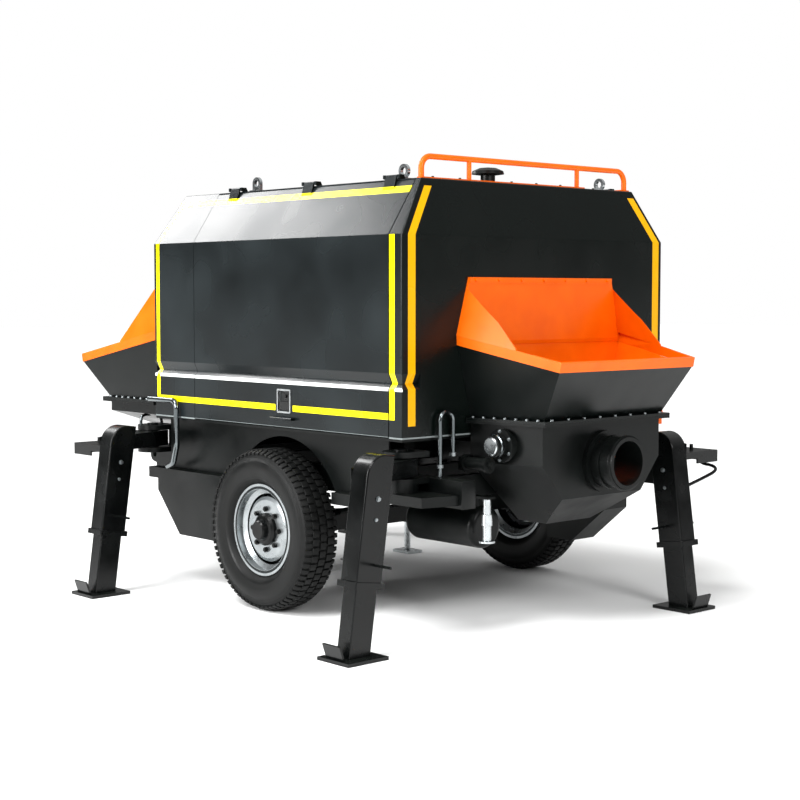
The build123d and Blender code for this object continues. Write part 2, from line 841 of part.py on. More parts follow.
def pump_box(base, throat_sizes, bend, waist):
    """A pump box under a throat flange, with its sloping front floor."""
    front_x = throat_sizes[1] - 10
    top = throat_sizes[0] - flange - fixed_gap
    with BuildPart() as body:
        with BuildSketch(end_plane(base, 4)):
            box_outline(throat_sizes[2], bend, waist)
        with BuildSketch(end_plane(base, front_x)):
            box_outline(throat_sizes[3], bend, waist)
        loft()
        with BuildSketch(side_plane(base, -half_width - 50)):
            with BuildLine():
                Polyline(
                    (front_x + 10, floor_front_z + 7),
                    (floor_rear_x, box_low),
                    (floor_rear_x - 20, box_low - 40),
                    (front_x + 60, box_low - 40),
                    close=True,
                )
            make_face()
        extrude(amount=-2 * half_width - 100, mode=Mode.SUBTRACT)
        offset(amount=-plate, openings=body.faces().sort_by(Axis.Z)[-1])
        with BuildSketch(flat_plane(base, 0, 0, top - flange)):
            trapezoid(
                4,
                throat_sizes[2] + flange_lip,
                throat_sizes[1] + flange_lip,
                throat_sizes[3] + flange_lip,
            )
            trapezoid_cut(throat_sizes)
        extrude(amount=flange)
    return body


def trapezoid_cut(throat_sizes):
    """Open a flange for the throat that it frames."""
    Polygon(
        (4 + plate, plate - throat_sizes[2]),
        (throat_sizes[1] - 10 - plate, plate - throat_sizes[3]),
        (throat_sizes[1] - 10 - plate, throat_sizes[3] - plate),
        (4 + plate, throat_sizes[2] - plate),
        align=None,
        mode=Mode.SUBTRACT,
    )


boss_half = rear_throat[2] - 18.0
outlet_axis = Axis((half_length, 0, outlet_z), (1, 0, 0))
with BuildPart() as rear_pump_box:
    add(pump_box(rear_end, rear_throat, box_bend, None).part)
    with BuildSketch(end_plane(rear_end, rear_throat[1] - 60)):
        with Locations((0, outlet_z)):
            Circle(outlet_bore_r)
    extrude(amount=100, mode=Mode.SUBTRACT)
    for side in (-1, 1):
        with BuildSketch(side_plane(rear_end, side * boss_half)):
            with Locations((agitator_x, agitator_z)):
                Circle(bearing_boss_r)
        extrude(amount=side * 36)
    with BuildSketch(side_plane(rear_end, -half_width)):
        with Locations((agitator_x, agitator_z)):
            Circle(agitator_r + running)
    extrude(amount=-2 * half_width, mode=Mode.SUBTRACT)
pieces["rear_pump_box"] = rear_pump_box
pieces["front_pump_box"] = pump_box(front_end, front_throat, front_box_bend, front_box_waist)

# Agitator: a shaft across the rear box with four bolted paddles
agitator_half = boss_half + 10.0
with BuildPart() as agitator:
    with BuildSketch(side_plane(rear_end, -agitator_half)):
        with Locations((agitator_x, agitator_z)):
            Circle(agitator_r)
    extrude(amount=-2 * agitator_half)
    for index, y in enumerate((-280, -100, 100, 280)):
        turn = Rot(0, 0, 0) if index % 2 else Rot(0, 90, 0)
        hub_place = Location(point_on(rear_end, agitator_x, y, agitator_z)) * turn
        with Locations(hub_place):
            Box(26, 40, 2 * paddle_r - 30)
            with Locations((0, 0, paddle_r - 12), (0, 0, 12 - paddle_r)):
                Box(14, 110, 24)
pieces["agitator"] = agitator

# Agitator drive on the left, its end bearing on the right
with BuildPart() as agitator_drive:
    for side, motor in ((-1, 74.0), (1, 30.0)):
        drive_plane = Plane(
            origin=(half_length + agitator_x, side * (boss_half + wall_gap), agitator_z),
            x_dir=(1, 0, 0),
            z_dir=(0, side, 0),
        )
        with BuildSketch(drive_plane):
            Circle(75)
        extrude(amount=20)
        with BuildSketch(drive_plane):
            Circle(48)
        extrude(amount=motor)
        with BuildSketch(drive_plane):
            Circle(agitator_r + running)
        extrude(amount=14, mode=Mode.SUBTRACT)
pieces["agitator_drive"] = agitator_drive

# Delivery outlet: flange, reducer pipe and mouth ring
outlet_section = Plane(origin=(0, 0, outlet_z), x_dir=(1, 0, 0), z_dir=(0, -1, 0))
box_front = half_length + rear_throat[1] - 10
outlet_mouth = half_length + outlet_reach
with BuildPart() as delivery_outlet:
    with BuildSketch(outlet_section):
        with BuildLine():
            Polyline(
                (box_front + 0.3, outlet_bore_r),
                (box_front + 0.3, outlet_flange_r),
                (box_front + 22, outlet_flange_r),
                (box_front + 22, outlet_r - 3),
                (box_front + 60, outlet_r - 3),
                (box_front + 60, outlet_r + 6),
                (box_front + 78, outlet_r + 6),
                (box_front + 78, outlet_r - 3),
                (outlet_mouth - 22, outlet_r - 3),
                (outlet_mouth - 22, outlet_r + 3),
                (outlet_mouth, outlet_r),
                (outlet_mouth, outlet_bore_r),
                close=True,
            )
        make_face()
    revolve(axis=outlet_axis)
pieces["delivery_outlet"] = delivery_outlet

# Swing cylinder along the left wall of the rear box, and its link
cylinder_y = -514.0
cylinder_z = 754.0
with BuildPart() as swing_cylinder:
    for x0, x1, r in ((12, 36, 40), (36, 150, 28), (150, 168, 36), (168, 190, 14)):
        with BuildSketch(end_plane(rear_end, x0)):
            with Locations((cylinder_y, cylinder_z)):
                Circle(r)
        extrude(amount=x1 - x0)
    with BuildSketch(flat_plane(rear_end, 70, cylinder_y + 26, cylinder_z - 14)):
        Rectangle(50, 52)
    extrude(amount=28)
    with BuildSketch(end_plane(rear_end, 0.3)):
        with Locations((cylinder_y, cylinder_z)):
            Rectangle(60, 60)
    extrude(amount=14)
    add(rear_pump_box.part, mode=Mode.SUBTRACT)
pieces["swing_cylinder"] = swing_cylinder


# Outrigger stands, each drawn in the frame of its pivot: X along the arm, Z up
def leg_plane(base, side, height):
    """The plane across a leaning leg, at a height measured along it from the ground."""
    along = base.z_dir * cos(lean) - base.x_dir * sin(lean)
    foot = point_on(base, foot_out, side * leg_side, 0)
    return Plane(origin=foot + along * height, x_dir=base.x_dir * cos(lean) + base.z_dir * sin(lean), z_dir=along)


def swing_leg(base, side, has_step):
    """The arm on its pivot with the outer leg tube, its collar and its lock handle."""
    arm_out = foot_out - (arm_low + arm_height / 2) * tan(lean)
    near_face = side * (leg_side - leg_thin / 2 + 1)
    far_face = side * (leg_side + leg_thin / 2 - 1)
    step_end = arm_out + leg_wide / 2
    tube_end = leg_top / cos(lean)
    along = leg_plane(base, side, 0).z_dir
    face = Plane(
        origin=point_on(base, foot_out, side * leg_side - leg_thin / 2, 0),
        x_dir=leg_plane(base, side, 0).x_dir,
        z_dir=-base.y_dir,
    )
    with BuildPart() as leg:
        with BuildSketch(face):
            with BuildLine():
                Polyline(
                    (-leg_wide / 2, collar_low),
                    (leg_wide / 2, collar_low),
                    (leg_wide / 2, tube_end),
                    (-leg_wide / 2, tube_end),
                    close=True,
                )
            outline = make_face()
            top_corners = outline.vertices().group_by(Axis.Y)[-1]
            fillet(top_corners.sort_by(Axis.X)[-1], leg_shoulder)
        extrude(amount=-leg_thin)
        fillet(leg.edges().filter_by(lambda e: abs(e.tangent_at(0.5).dot(along)) > 0.99), 7)
        with BuildSketch(leg_plane(base, side, collar_low - 1)):
            Rectangle(foot_wide + 2 * moving, foot_thin + 2 * moving)
        extrude(amount=foot_top + foot_travel + 2 * moving - collar_low, mode=Mode.SUBTRACT)
        with BuildSketch(leg_plane(base, side, collar_low)):
            RectangleRounded(leg_wide + 2 * collar_lip, leg_thin + 2 * collar_lip, 6)
        extrude(amount=collar_height)
        with BuildSketch(leg_plane(base, side, collar_low - 1)):
            Rectangle(foot_wide + 2 * slide_fit, foot_thin + 2 * slide_fit)
        extrude(amount=collar_height + 2, mode=Mode.SUBTRACT)
        for face_y, reach in ((near_face, side * handle_reach), (far_face, -side * pin_reach)):
            with BuildSketch(side_plane(base, face_y)):
                with Locations((foot_out - handle_z * tan(lean) - 20, handle_z)):
                    Circle(handle_r)
            extrude(amount=reach)
        with BuildSketch(flat_plane(base, 0, 0, arm_low)):
            Circle(arm_boss_r)
            with Locations((arm_out, near_face - side)):
                Rectangle(leg_wide, 2)
            make_hull()
        extrude(amount=arm_height)
        if has_step:
            with BuildSketch(flat_plane(base, 0, 0, arm_low)):
                Circle(arm_boss_r)
                with Locations((step_end / 2, 0)):
                    Rectangle(step_end, 2 * arm_boss_r)
                with Locations((arm_out, near_face / 2)):
                    Rectangle(leg_wide, abs(near_face))
            extrude(amount=step_height)
            with BuildSketch(flat_plane(base, 0, 0, arm_low - step_lip)):
                with Locations((step_end - plate / 2, 0)):
                    Rectangle(plate, 2 * arm_boss_r)
                with Locations(((step_end + lip_start) / 2, -side * (arm_boss_r - plate / 2))):
                    Rectangle(step_end - lip_start, plate)
            extrude(amount=step_lip + 1)
            with BuildSketch(flat_plane(base, knob_x, 0, arm_low + step_height - 1)):
                Circle(knob_r)
            extrude(amount=27)
        with BuildSketch(flat_plane(base, 0, 0, arm_low - 1)):
            Circle(arm_pin_r + running)
        extrude(amount=arm_height + 2, mode=Mode.SUBTRACT)
    return leg


def slide_foot(base, side):
    """The inner tube with its ground plate and the turned-up lip."""
    long, wide, thick = foot_plate
    with BuildPart() as foot:
        with BuildSketch(leg_plane(base, side, -40)):
            RectangleRounded(foot_wide, foot_thin, 6)
            Rectangle(foot_wide - 16, foot_thin - 16, mode=Mode.SUBTRACT)
        extrude(amount=foot_top + 40)
        with BuildSketch(flat_plane(base, foot_out, side * leg_side, thick / 2)):
            Rectangle(2 * long, 2 * wide)
        extrude(amount=-200, mode=Mode.SUBTRACT)
        with BuildSketch(flat_plane(base, foot_out, side * leg_side, 0)):
            Rectangle(long, wide)
        extrude(amount=thick)
        with BuildSketch(side_plane(base, side * leg_side - 55)):
            with BuildLine():
                Polyline(
                    (foot_out + long / 2 - 22, thick - 1),
                    (foot_out + long / 2 - 12, thick - 1),
                    (foot_out + long / 2 + 10, 78),
                    (foot_out + long / 2 + 1, 80),
                    close=True,
                )
            make_face()
        extrude(amount=-110)
    return foot


def arm_bracket(base, side, fold):
    """The fork that is welded to a rail, with the pin that an arm turns on."""
    root = arm_pivot_y - rail_outer
    top = arm_low + arm_height + moving
    lug_low = arm_low - moving * 2 - lug
    fork = top + lug - lug_low
    with BuildPart() as bracket:
        for low in (lug_low, top):
            with BuildSketch(flat_plane(base, 0, 0, low)):
                Circle(arm_boss_r)
                with Locations((0, -side * root / 2)):
                    Rectangle(2 * arm_boss_r, root)
            extrude(amount=lug)
        with BuildSketch(flat_plane(base, -fold * (arm_boss_r - web_length / 2), -side * (root - web / 2), lug_low)):
            Rectangle(web_length, web)
        extrude(amount=fork)
        with BuildSketch(flat_plane(base, 0, 0, lug_low)):
            Circle(arm_pin_r)
        extrude(amount=fork + 8)
        if fold > 0:
            with BuildSketch(flat_plane(base, 0, 0, shelf_low)):
                Polygon(
                    (-arm_boss_r, -side * root),
                    (shelf_root, -side * root),
                    (shelf_tip, side * arm_boss_r),
                    (-arm_boss_r, side * arm_boss_r),
                    align=None,
                )
            extrude(amount=shelf)
            with BuildSketch(flat_plane(base, 0, 0, shelf_low + shelf - 1)):
                Circle(arm_boss_r)
            extrude(amount=lug_low - shelf_low - shelf + 2)
    return bracket


stand_places = {
    "rear_left": (arm_pivot_x, -arm_pivot_y, (0, -1, 0), 1, False),
    "rear_right": (arm_pivot_x, arm_pivot_y, (1, 0, 0), -1, True),
    "front_left": (-front_arm_pivot_x, -arm_pivot_y, (0, -1, 0), 1, True),
    "front_right": (-front_arm_pivot_x, arm_pivot_y, (-1, 0, 0), -1, False),
}
for name, (x, y, arm_direction, side, has_step) in stand_places.items():
    stand = Plane(origin=(x, y, 0), x_dir=arm_direction, z_dir=(0, 0, 1))
    pieces[f"leg_{name}"] = swing_leg(stand, side, has_step)
    pieces[f"foot_{name}"] = slide_foot(stand, side)
with BuildPart() as arm_brackets:
    for x, y, _, _, _ in stand_places.values():
        pivot = Plane(origin=(x, y, 0), x_dir=(1, 0, 0), z_dir=(0, 0, 1))
        add(arm_bracket(pivot, 1 if y > 0 else -1, 1 if x > 0 else -1).part)
pieces["arm_brackets"] = arm_brackets

# Jack stand under the right rail: fixed tube and screwed foot
jack_x = -790.0
jack_y = rail_outer + 28.0
with BuildPart() as jack_tube:
    with BuildSketch(Plane.XY.offset(180)):
        with Locations((jack_x, jack_y)):
            Circle(28)
            Circle(18, mode=Mode.SUBTRACT)
    extrude(amount=rail_low + 80 - 180)
pieces["jack_tube"] = jack_tube
with BuildPart() as jack_foot:
    with BuildSketch(Plane.XY):
        with Locations((jack_x, jack_y)):
            RectangleRounded(150, 110, 12)
    extrude(amount=14)
    with BuildSketch(Plane.XY):
        with Locations((jack_x, jack_y)):
            Circle(18 - running)
    extrude(amount=420)
pieces["jack_foot"] = jack_foot

# Tanks under the deck
tank_top = rail_low - 0.3
cross_low = rail_top - rail_height + 10
with BuildPart() as fuel_tank:
    with BuildSketch(Plane.XZ.offset(skirt_y - skirt - 0.3)):
        with BuildLine():
            Polyline((-1080, 470), (-880, 250), (-560, 250), (-470, 330), (-470, 560), (-1080, 560), close=True)
        make_face()
    extrude(amount=-240)
pieces["fuel_tank"] = fuel_tank
with BuildPart() as water_tank:
    with BuildSketch(Plane.XZ.offset(-(skirt_y - 220))):
        with BuildLine():
            Polyline((470, tank_top), (860, tank_top), (860, 430), (640, 250), (470, 250), close=True)
        make_face()
    extrude(amount=-170)
pieces["water_tank"] = water_tank
with BuildPart() as air_tank:
    with BuildSketch(Plane.YZ.offset(470)):
        with Locations((-330, 440)):
            Circle(100)
    extrude(amount=460)
    fillet(air_tank.edges(), 30)
    for x in (cross_places[2] + 14, cross_places[3] - 14):
        with BuildSketch(Plane.YZ.offset(x - 20)):
            with Locations((-330, (cross_low - 0.3 + 480) / 2)):
                Rectangle(60, cross_low - 0.3 - 480)
        extrude(amount=40)
pieces["air_tank"] = air_tank

# Roof fittings
eye_places = (-354.0, 735.0)
eye_y = 665.0
eye_z = 40.0
eye_r = 31.0
eye_bore_r = 17.0
eye_plate = 16.0
roof_rail_r = 13.0
roof_rail_x = 872.0
roof_rail_half = 690.0
roof_rail_top = 2118.0
rail_posts = (-394.0, 338.0)
with BuildPart() as roof_rail:
    with BuildLine(Plane.YZ.offset(roof_rail_x)) as path:
        FilletPolyline(
            (-roof_rail_half, roof_z),
            (-roof_rail_half, roof_rail_top),
            (roof_rail_half, roof_rail_top),
            (roof_rail_half, roof_z),
            radius=55,
        )
    with BuildSketch(Plane(origin=path.line @ 0, z_dir=path.line % 0)):
        Circle(roof_rail_r)
    sweep()
    for y in rail_posts:
        with BuildSketch(Plane.XY.offset(roof_z)):
            with Locations((roof_rail_x, y)):
                Circle(roof_rail_r - 2)
        extrude(amount=roof_rail_top - roof_z)
    for y0, y1 in ((-roof_rail_half - 10, rail_posts[1] + 40), (roof_rail_half - 50, roof_rail_half + 20)):
        with BuildSketch(Plane.XY.offset(roof_z)):
            with Locations((roof_rail_x, (y0 + y1) / 2)):
                Rectangle(34, y1 - y0)
        extrude(amount=6)
pieces["roof_rail"] = roof_rail
with BuildPart() as breather_cap:
    with BuildSketch(Plane(origin=(790, -190, roof_z), x_dir=(1, 0, 0), z_dir=(0, -1, 0))):
        with BuildLine():
            Polyline((0, 0), (52, 0), (52, 8), (34, 12), (34, 40), (76, 46), (72, 60), (40, 74), (0, 78), close=True)
        make_face()
    revolve(axis=Axis((790, -190, 0), (0, 0, 1)))
pieces["breather_cap"] = breather_cap
with BuildPart() as lifting_eyes:
    for x in eye_places:
        for y in (-eye_y, eye_y):
            upright = Plane(origin=(x, y + eye_plate / 2, roof_z), x_dir=(1, 0, 0), z_dir=(0, -1, 0))
            with BuildSketch(upright):
                with Locations((0, eye_z)):
                    Circle(eye_r)
                with Locations((0, eye_z / 2)):
                    Rectangle(2 * eye_r if x < 0 else eye_r, eye_z)
                with Locations((0, eye_z)):
                    Circle(eye_bore_r, mode=Mode.SUBTRACT)
            extrude(amount=eye_plate)
            with BuildSketch(Plane.XY.offset(roof_z)):
                with Locations((x, y)):
                    Rectangle(2 * eye_r + 14, 44)
            extrude(amount=7)
pieces["lifting_eyes"] = lifting_eyes

# Lever on the right rear corner post
with BuildPart() as rear_lever:
    with BuildSketch(Plane.XY.offset(850)):
        with Locations((925, half_width + 17)):
            Rectangle(44, 34)
    extrude(amount=220)
    with BuildSketch(Plane.XZ.offset(-(half_width + 34))):
        with Locations((925, 1020)):
            Circle(11)
    extrude(amount=-70)
    with BuildSketch(Plane.XZ.offset(-(half_width + 34))):
        with Locations((925, 910)):
            Circle(15)
    extrude(amount=-16)
pieces["rear_lever"] = rear_lever

# Steel pipes at the left side
with BuildPart() as steel_pipes:
    with BuildLine(Plane.XY) as rear_path:
        FilletPolyline(
            (985, -rail_y, rail_top),
            (985, -rail_y, 990),
            (985, 80 - rail_y, 990),
            (985, 80 - rail_y, 790),
            radius=39,
        )
    with BuildSketch(Plane(origin=rear_path.line @ 0, z_dir=rear_path.line % 0)):
        Circle(10)
    sweep()
    with BuildLine(Plane.XY) as front_path:
        FilletPolyline(
            (-985, -903, 965),
            (-735, -903, 965),
            (-735, -903, 740),
            (-800, -880, 640),
            (-880, -862, 614.5),
            radius=40,
        )
    with BuildSketch(Plane(origin=front_path.line @ 0, z_dir=front_path.line % 0)):
        Circle(14)
    sweep()
pieces["steel_pipes"] = steel_pipes

# Drain rod, and the lugs that a drawbar is pinned to
with BuildPart() as drain_rod:
    for low, high, r in ((392, 400, 36), (400, rod_top, 19), (470, 520, 24)):
        with BuildSketch(Plane.XY.offset(low)):
            with Locations((rod_x, rod_y)):
                Circle(r)
        extrude(amount=high - low)
pieces["drain_rod"] = drain_rod
with BuildPart() as tow_lugs:
    for side in (-1, 1):
        with BuildSketch(Plane.XZ.offset(side * rail_y - 12)):
            with BuildLine():
                Polyline(
                    (-rail_front - fixed_gap, rail_low + 6),
                    (-rail_front - fixed_gap, rail_top - 6),
                    (-rail_front - 60, rail_top - 20),
                    (-rail_front - 60, rail_low + 20),
                    close=True,
                )
            make_face()
            with Locations((-rail_front - 60, tow_z)):
                Circle(40)
                Circle(tow_bore_r, mode=Mode.SUBTRACT)
        extrude(amount=24)
pieces["tow_lugs"] = tow_lugs

os.makedirs("parts", exist_ok=True)
for name, piece in pieces.items():
    piece.part.label = name
    piece.part.move(Location((-origin_x, -origin_y, 0)))
    export_step(piece.part, f"parts/{name}.step")
print(len(pieces), "pieces; origin moved by", -origin_x, -origin_y)
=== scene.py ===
# %% [markdown]
# The object is a towable concrete pump: a canopied power pack on one axle with a hopper at each
# end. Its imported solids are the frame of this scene. They could be redrawn here, but they are
# already to size, so they keep their places and get finishes. Only the treaded tyres stand for
# solids of the frame, and bolts and small trim are added to it.

import json
from math import cos, pi, radians, sin, tan

import bpy
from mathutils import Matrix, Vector


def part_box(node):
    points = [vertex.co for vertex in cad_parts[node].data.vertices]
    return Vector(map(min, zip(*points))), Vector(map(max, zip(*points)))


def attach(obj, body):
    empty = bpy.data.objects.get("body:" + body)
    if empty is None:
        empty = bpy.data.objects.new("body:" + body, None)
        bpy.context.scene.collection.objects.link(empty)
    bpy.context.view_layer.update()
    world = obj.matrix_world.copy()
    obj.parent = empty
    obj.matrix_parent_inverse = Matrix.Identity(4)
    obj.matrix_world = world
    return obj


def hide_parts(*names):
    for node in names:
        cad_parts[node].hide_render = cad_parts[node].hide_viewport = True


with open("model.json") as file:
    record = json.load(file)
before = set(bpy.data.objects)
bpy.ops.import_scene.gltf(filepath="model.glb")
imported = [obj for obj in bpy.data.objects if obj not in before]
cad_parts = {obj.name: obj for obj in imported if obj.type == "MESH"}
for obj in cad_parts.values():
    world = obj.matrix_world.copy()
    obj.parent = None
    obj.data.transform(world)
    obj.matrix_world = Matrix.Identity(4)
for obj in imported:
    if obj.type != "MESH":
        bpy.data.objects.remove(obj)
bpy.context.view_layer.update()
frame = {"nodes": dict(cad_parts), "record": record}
bpy.ops.object.select_all(action="DESELECT")
roof_low, roof_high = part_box("canopy_roof")
middle = Vector(((roof_low[0] + roof_high[0]) / 2, (roof_low[1] + roof_high[1]) / 2, 0))
print(len(frame["nodes"]), "nodes, canopy middle", tuple(round(c, 4) for c in middle))


# %% [markdown]
# A fitter would measure the machine from the middle of its canopy. Places could be typed in the
# frame's own coordinates, but those shift with the outline of the whole machine, so one
# function turns a place on the canopy into a place in the frame.

# %% Places
def at(x, y, z):
    """A place measured from the canopy's middle on the ground."""
    return middle + Vector((x, y, z))


half_length = 0.960
fold_z = 1.768
roof_z = 2.020
end_inset = 0.058
side_inset = 0.165
wheel_x = 0.020
wheel_y = 0.868
tyre_r = 0.3875
up = Vector((0, 0, 1))
rearward = Vector((1, 0, 0))
leftward = Vector((0, -1, 0))
print("canopy middle to rear wall", half_length, "m")

# %% [markdown]
# The photograph was taken from behind the left rear corner, a little above eye height, with a
# long lens. A camera could be aimed by eye, but here its place and angle were fitted to the
# canopy's corners and the wheel, so that picture and photograph can be laid side by side.

# %% Camera
eye = at(6.0114, -5.4696, 1.5025)
yaw = radians(137.84)
pitch = radians(3.779)
sensor_mm = 36.0
focal_pixels = 1580.9
picture_pixels = 800
look = Vector((cos(yaw) * cos(pitch), sin(yaw) * cos(pitch), -sin(pitch)))
bpy.ops.object.camera_add(location=eye, rotation=look.to_track_quat("-Z", "Y").to_euler())
camera = bpy.context.object
camera.name = "camera"
camera.data.sensor_width = sensor_mm
camera.data.lens = sensor_mm * focal_pixels / picture_pixels
camera.data.clip_end = 200
bpy.context.scene.camera = camera
bpy.context.scene.view_settings.view_transform = "Standard"
print("lens", round(camera.data.lens, 2))


# %% [markdown]
# Colours are read as display values, and the shader works in linear ones. They could be typed
# as linear numbers, but six hex digits are easier to compare with a picture, so one function
# converts them. A second small function adds any node with its settings and what feeds it.

# %% Colours and nodes
def linear(code):
    """The linear colour of a display colour written as six hex digits."""
    channels = [int(code[i : i + 2], 16) / 255 for i in (0, 2, 4)]
    return tuple(c / 12.92 if c <= 0.04045 else ((c + 0.055) / 1.055) ** 2.4 for c in channels) + (1.0,)


def add_node(tree, kind, inputs, output=0, **settings):
    """One node and one of its outputs; each input is a value or the socket that feeds it."""
    made = tree.nodes.new("ShaderNode" + kind)
    for name, value in settings.items():
        setattr(made, name, value)
    for name, value in inputs.items():
        if isinstance(value, bpy.types.NodeSocket):
            tree.links.new(value, made.inputs[name])
        else:
            made.inputs[name].default_value = value
    return made.outputs[output] if made.outputs else made


print("a mid grey is", round(linear("808080")[0], 4))


# %% [markdown]
# Tape has sharp borders on the real machine, and so do the painted highlight along the canopy's hem
# and the painted shade in the rim's grooves. They could be pieces of their own, but thin film has no
# thickness that shows, so each is a mask that is 1 inside its bounds. Masks are joined, and a finish
# is a base colour with layers laid over it.

# %% Masks and layers
def between(tree, value, low, high):
    """1 where a value lies between two bounds, else 0."""
    above = add_node(tree, "Math", {0: value, 1: low}, operation="GREATER_THAN")
    below = add_node(tree, "Math", {0: value, 1: high}, operation="LESS_THAN")
    return add_node(tree, "Math", {0: above, 1: below}, operation="MULTIPLY")


def all_of(tree, masks):
    """1 where every one of several masks is."""
    total = masks[0]
    for mask in masks[1:]:
        total = add_node(tree, "Math", {0: total, 1: mask}, operation="MULTIPLY")
    return total


def any_of(tree, masks):
    """1 where any of several masks is."""
    total = masks[0]
    for mask in masks[1:]:
        total = add_node(tree, "Math", {0: total, 1: mask}, operation="MAXIMUM")
    return total


def layered(tree, base, *layers):
    """A base colour with others laid over it, each a mask and six hex digits."""
    for mask, code in layers:
        base = add_node(tree, "Mix", {0: mask, 6: base, 7: linear(code)}, 2, data_type="RGBA")
    return base


# %% [markdown]
# No sprayed or rolled surface is even: gloss and tone drift in soft clouds, and the film has a
# fine grain. An image could carry this, but noise sized in millimetres holds on every side and
# needs no unwrapping. These helpers open a material, cloud it, grain it and close it.

# %% Surface helpers
def start(name):
    """A new material with its tree, its output cleared, and the place and normal on the object."""
    material = bpy.data.materials.new(name)
    material.use_nodes = True
    tree = material.node_tree
    tree.nodes.clear()
    space = add_node(tree, "TexCoord", {}).node.outputs
    return material, tree, space["Object"], space["Normal"]


def clouded(tree, place, size_mm, low, high, detail=4.0):
    """Clouds about size_mm wide between two values, for uneven gloss and tone."""
    cloud = add_node(tree, "TexNoise", {"Vector": place, "Scale": 1000 / size_mm, "Detail": detail})
    bounds = {"From Min": 0.3, "From Max": 0.7, "To Min": low, "To Max": high}
    return add_node(tree, "MapRange", {"Value": cloud, **bounds})


def close(tree, colour, rough, metal=0.0, bump=None, depth_mm=0.1, shine=0.5):
    """The shader and output of a material; bump is a height that is depth_mm deep."""
    inputs = {"Base Color": colour, "Roughness": rough, "Metallic": metal, "Specular IOR Level": shine}
    if bump is not None:
        relief = {"Height": bump, "Strength": 1.0, "Distance": depth_mm / 1000}
        inputs["Normal"] = add_node(tree, "Bump", relief)
    add_node(tree, "OutputMaterial", {"Surface": add_node(tree, "BsdfPrincipled", inputs)})


# %% [markdown]
# The canopy is folded sheet with a fine pebbled black powder coat, which gives the eye soft,
# cloudy highlights. Bands of bright yellow, amber and white tape run along its folds. They
# could be thin strips, but masks worked out from the place on the sheet bend through the
# pressed groove as tape does, and lean inwards with the slope above the fold.

# %% Canopy finish
canopy, tree, place, normal = start("black_powder_coat_with_tape")
centred = add_node(tree, "VectorMath", {0: place, 1: middle}, operation="SUBTRACT")
x, y, z = add_node(tree, "SeparateXYZ", {0: centred}).node.outputs
facing = add_node(tree, "VectorMath", {0: normal}, operation="ABSOLUTE")
facing_x, facing_y = add_node(tree, "SeparateXYZ", {0: facing}).node.outputs[:2]
side_face = between(tree, facing_y, 0.5, 1.1)
end_face = between(tree, facing_x, 0.6, 1.1)
print("facing masks for", canopy.name)

# %% [markdown]
# Above the fold the sheet leans inwards, so a band that is upright below it leans as well. The
# band could be two masks, one for each plane, but with the lean taken off the measured place
# one mask runs on through the fold.

# %% Slopes above the fold
slope_height = roof_z - fold_z
past_fold = add_node(tree, "Math", {0: z, 1: fold_z}, operation="SUBTRACT")
over_fold = add_node(tree, "Math", {0: past_fold, 1: 0.0}, operation="MAXIMUM")
end_lean = end_inset / slope_height
side_lean = side_inset / slope_height
front_run = add_node(tree, "Math", {0: over_fold, 1: -end_lean, 2: x}, operation="MULTIPLY_ADD")
left_run = add_node(tree, "Math", {0: over_fold, 1: -side_lean, 2: y}, operation="MULTIPLY_ADD")
right_run = add_node(tree, "Math", {0: over_fold, 1: side_lean, 2: y}, operation="MULTIPLY_ADD")
print("lean of the slopes", round(end_lean, 3), round(side_lean, 3))

# %% [markdown]
# The tape runs round each side near its edges, with a break for the latch, and up the corners
# of both ends. It could be a strip of faces, but it is drawn as bands between two heights or
# two places along the side, because tape has even edges, and only the faces that it sticks to
# take it.

# %% Tape and paint
tape_foot = 0.960
tape_top = 1.986
tape_front = -0.937
tape_rear = 0.912
latch_gap = (0.066, 0.198)
tape_height = between(tree, z, tape_foot, tape_top)
front_post = all_of(tree, [between(tree, front_run, tape_front, -0.908), tape_height])
rear_post = all_of(tree, [between(tree, x, 0.877, tape_rear), between(tree, z, tape_foot, fold_z)])
beside_latch = [between(tree, x, tape_front, latch_gap[0]), between(tree, x, latch_gap[1], tape_rear)]
foot_band = all_of(tree, [any_of(tree, beside_latch), between(tree, z, tape_foot, 0.989)])
top_band = all_of(tree, [between(tree, x, -0.905, 0.873), between(tree, z, 1.956, tape_top)])
yellow = all_of(tree, [any_of(tree, [front_post, rear_post, foot_band, top_band]), side_face])
amber_posts = [between(tree, left_run, -0.849, -0.805), between(tree, right_run, 0.813, 0.861)]
amber = all_of(tree, [any_of(tree, amber_posts), between(tree, z, 0.934, 1.985), end_face])
from_middle = add_node(tree, "Math", {0: y}, operation="ABSOLUTE")
white = all_of(tree, [between(tree, z, 1.086, 1.102), side_face, between(tree, from_middle, 0.862, 1.0)])
painted_hem_highlight = between(tree, z, 0.0, 0.885)
cloud_mm = 420
sheet = layered(
    tree,
    linear("0d1112"),
    (clouded(tree, place, cloud_mm, 0.0, 1.0, 2.0), "1a2022"),
    # The ends take a darker, greener black: painted shade, because they face away from the main light.
    (end_face, "060b09"),
    # Below the canopy's foot, the hem is laid over in light grey: a painted highlight along its edge.
    (painted_hem_highlight, "7d8484"),
    (white, "e9ecea"),
    (amber, "ecaa00"),
    (yellow, "f3e600"),
)
gloss = clouded(tree, place, cloud_mm, 0.20, 0.34, 2.0)
pebble_mm = 3.2
pebble = add_node(tree, "TexNoise", {"Vector": place, "Scale": 1000 / pebble_mm, "Detail": 2.0})
close(tree, sheet, gloss, bump=pebble, depth_mm=0.10, shine=0.24)
print(canopy.name, len(tree.nodes), "nodes")


# %% [markdown]
# Frame, stands, hubs and pump boxes are painted black, each with its own gloss, and what faces up
# is laid over in patches with a lighter painted highlight for the light from above. A plain black would
# look cut out of paper, so each paint drifts between two near blacks, and only its roughness and grain
# tell one finish from another.

# %% Black, orange and grey paints
patch_mm = 180


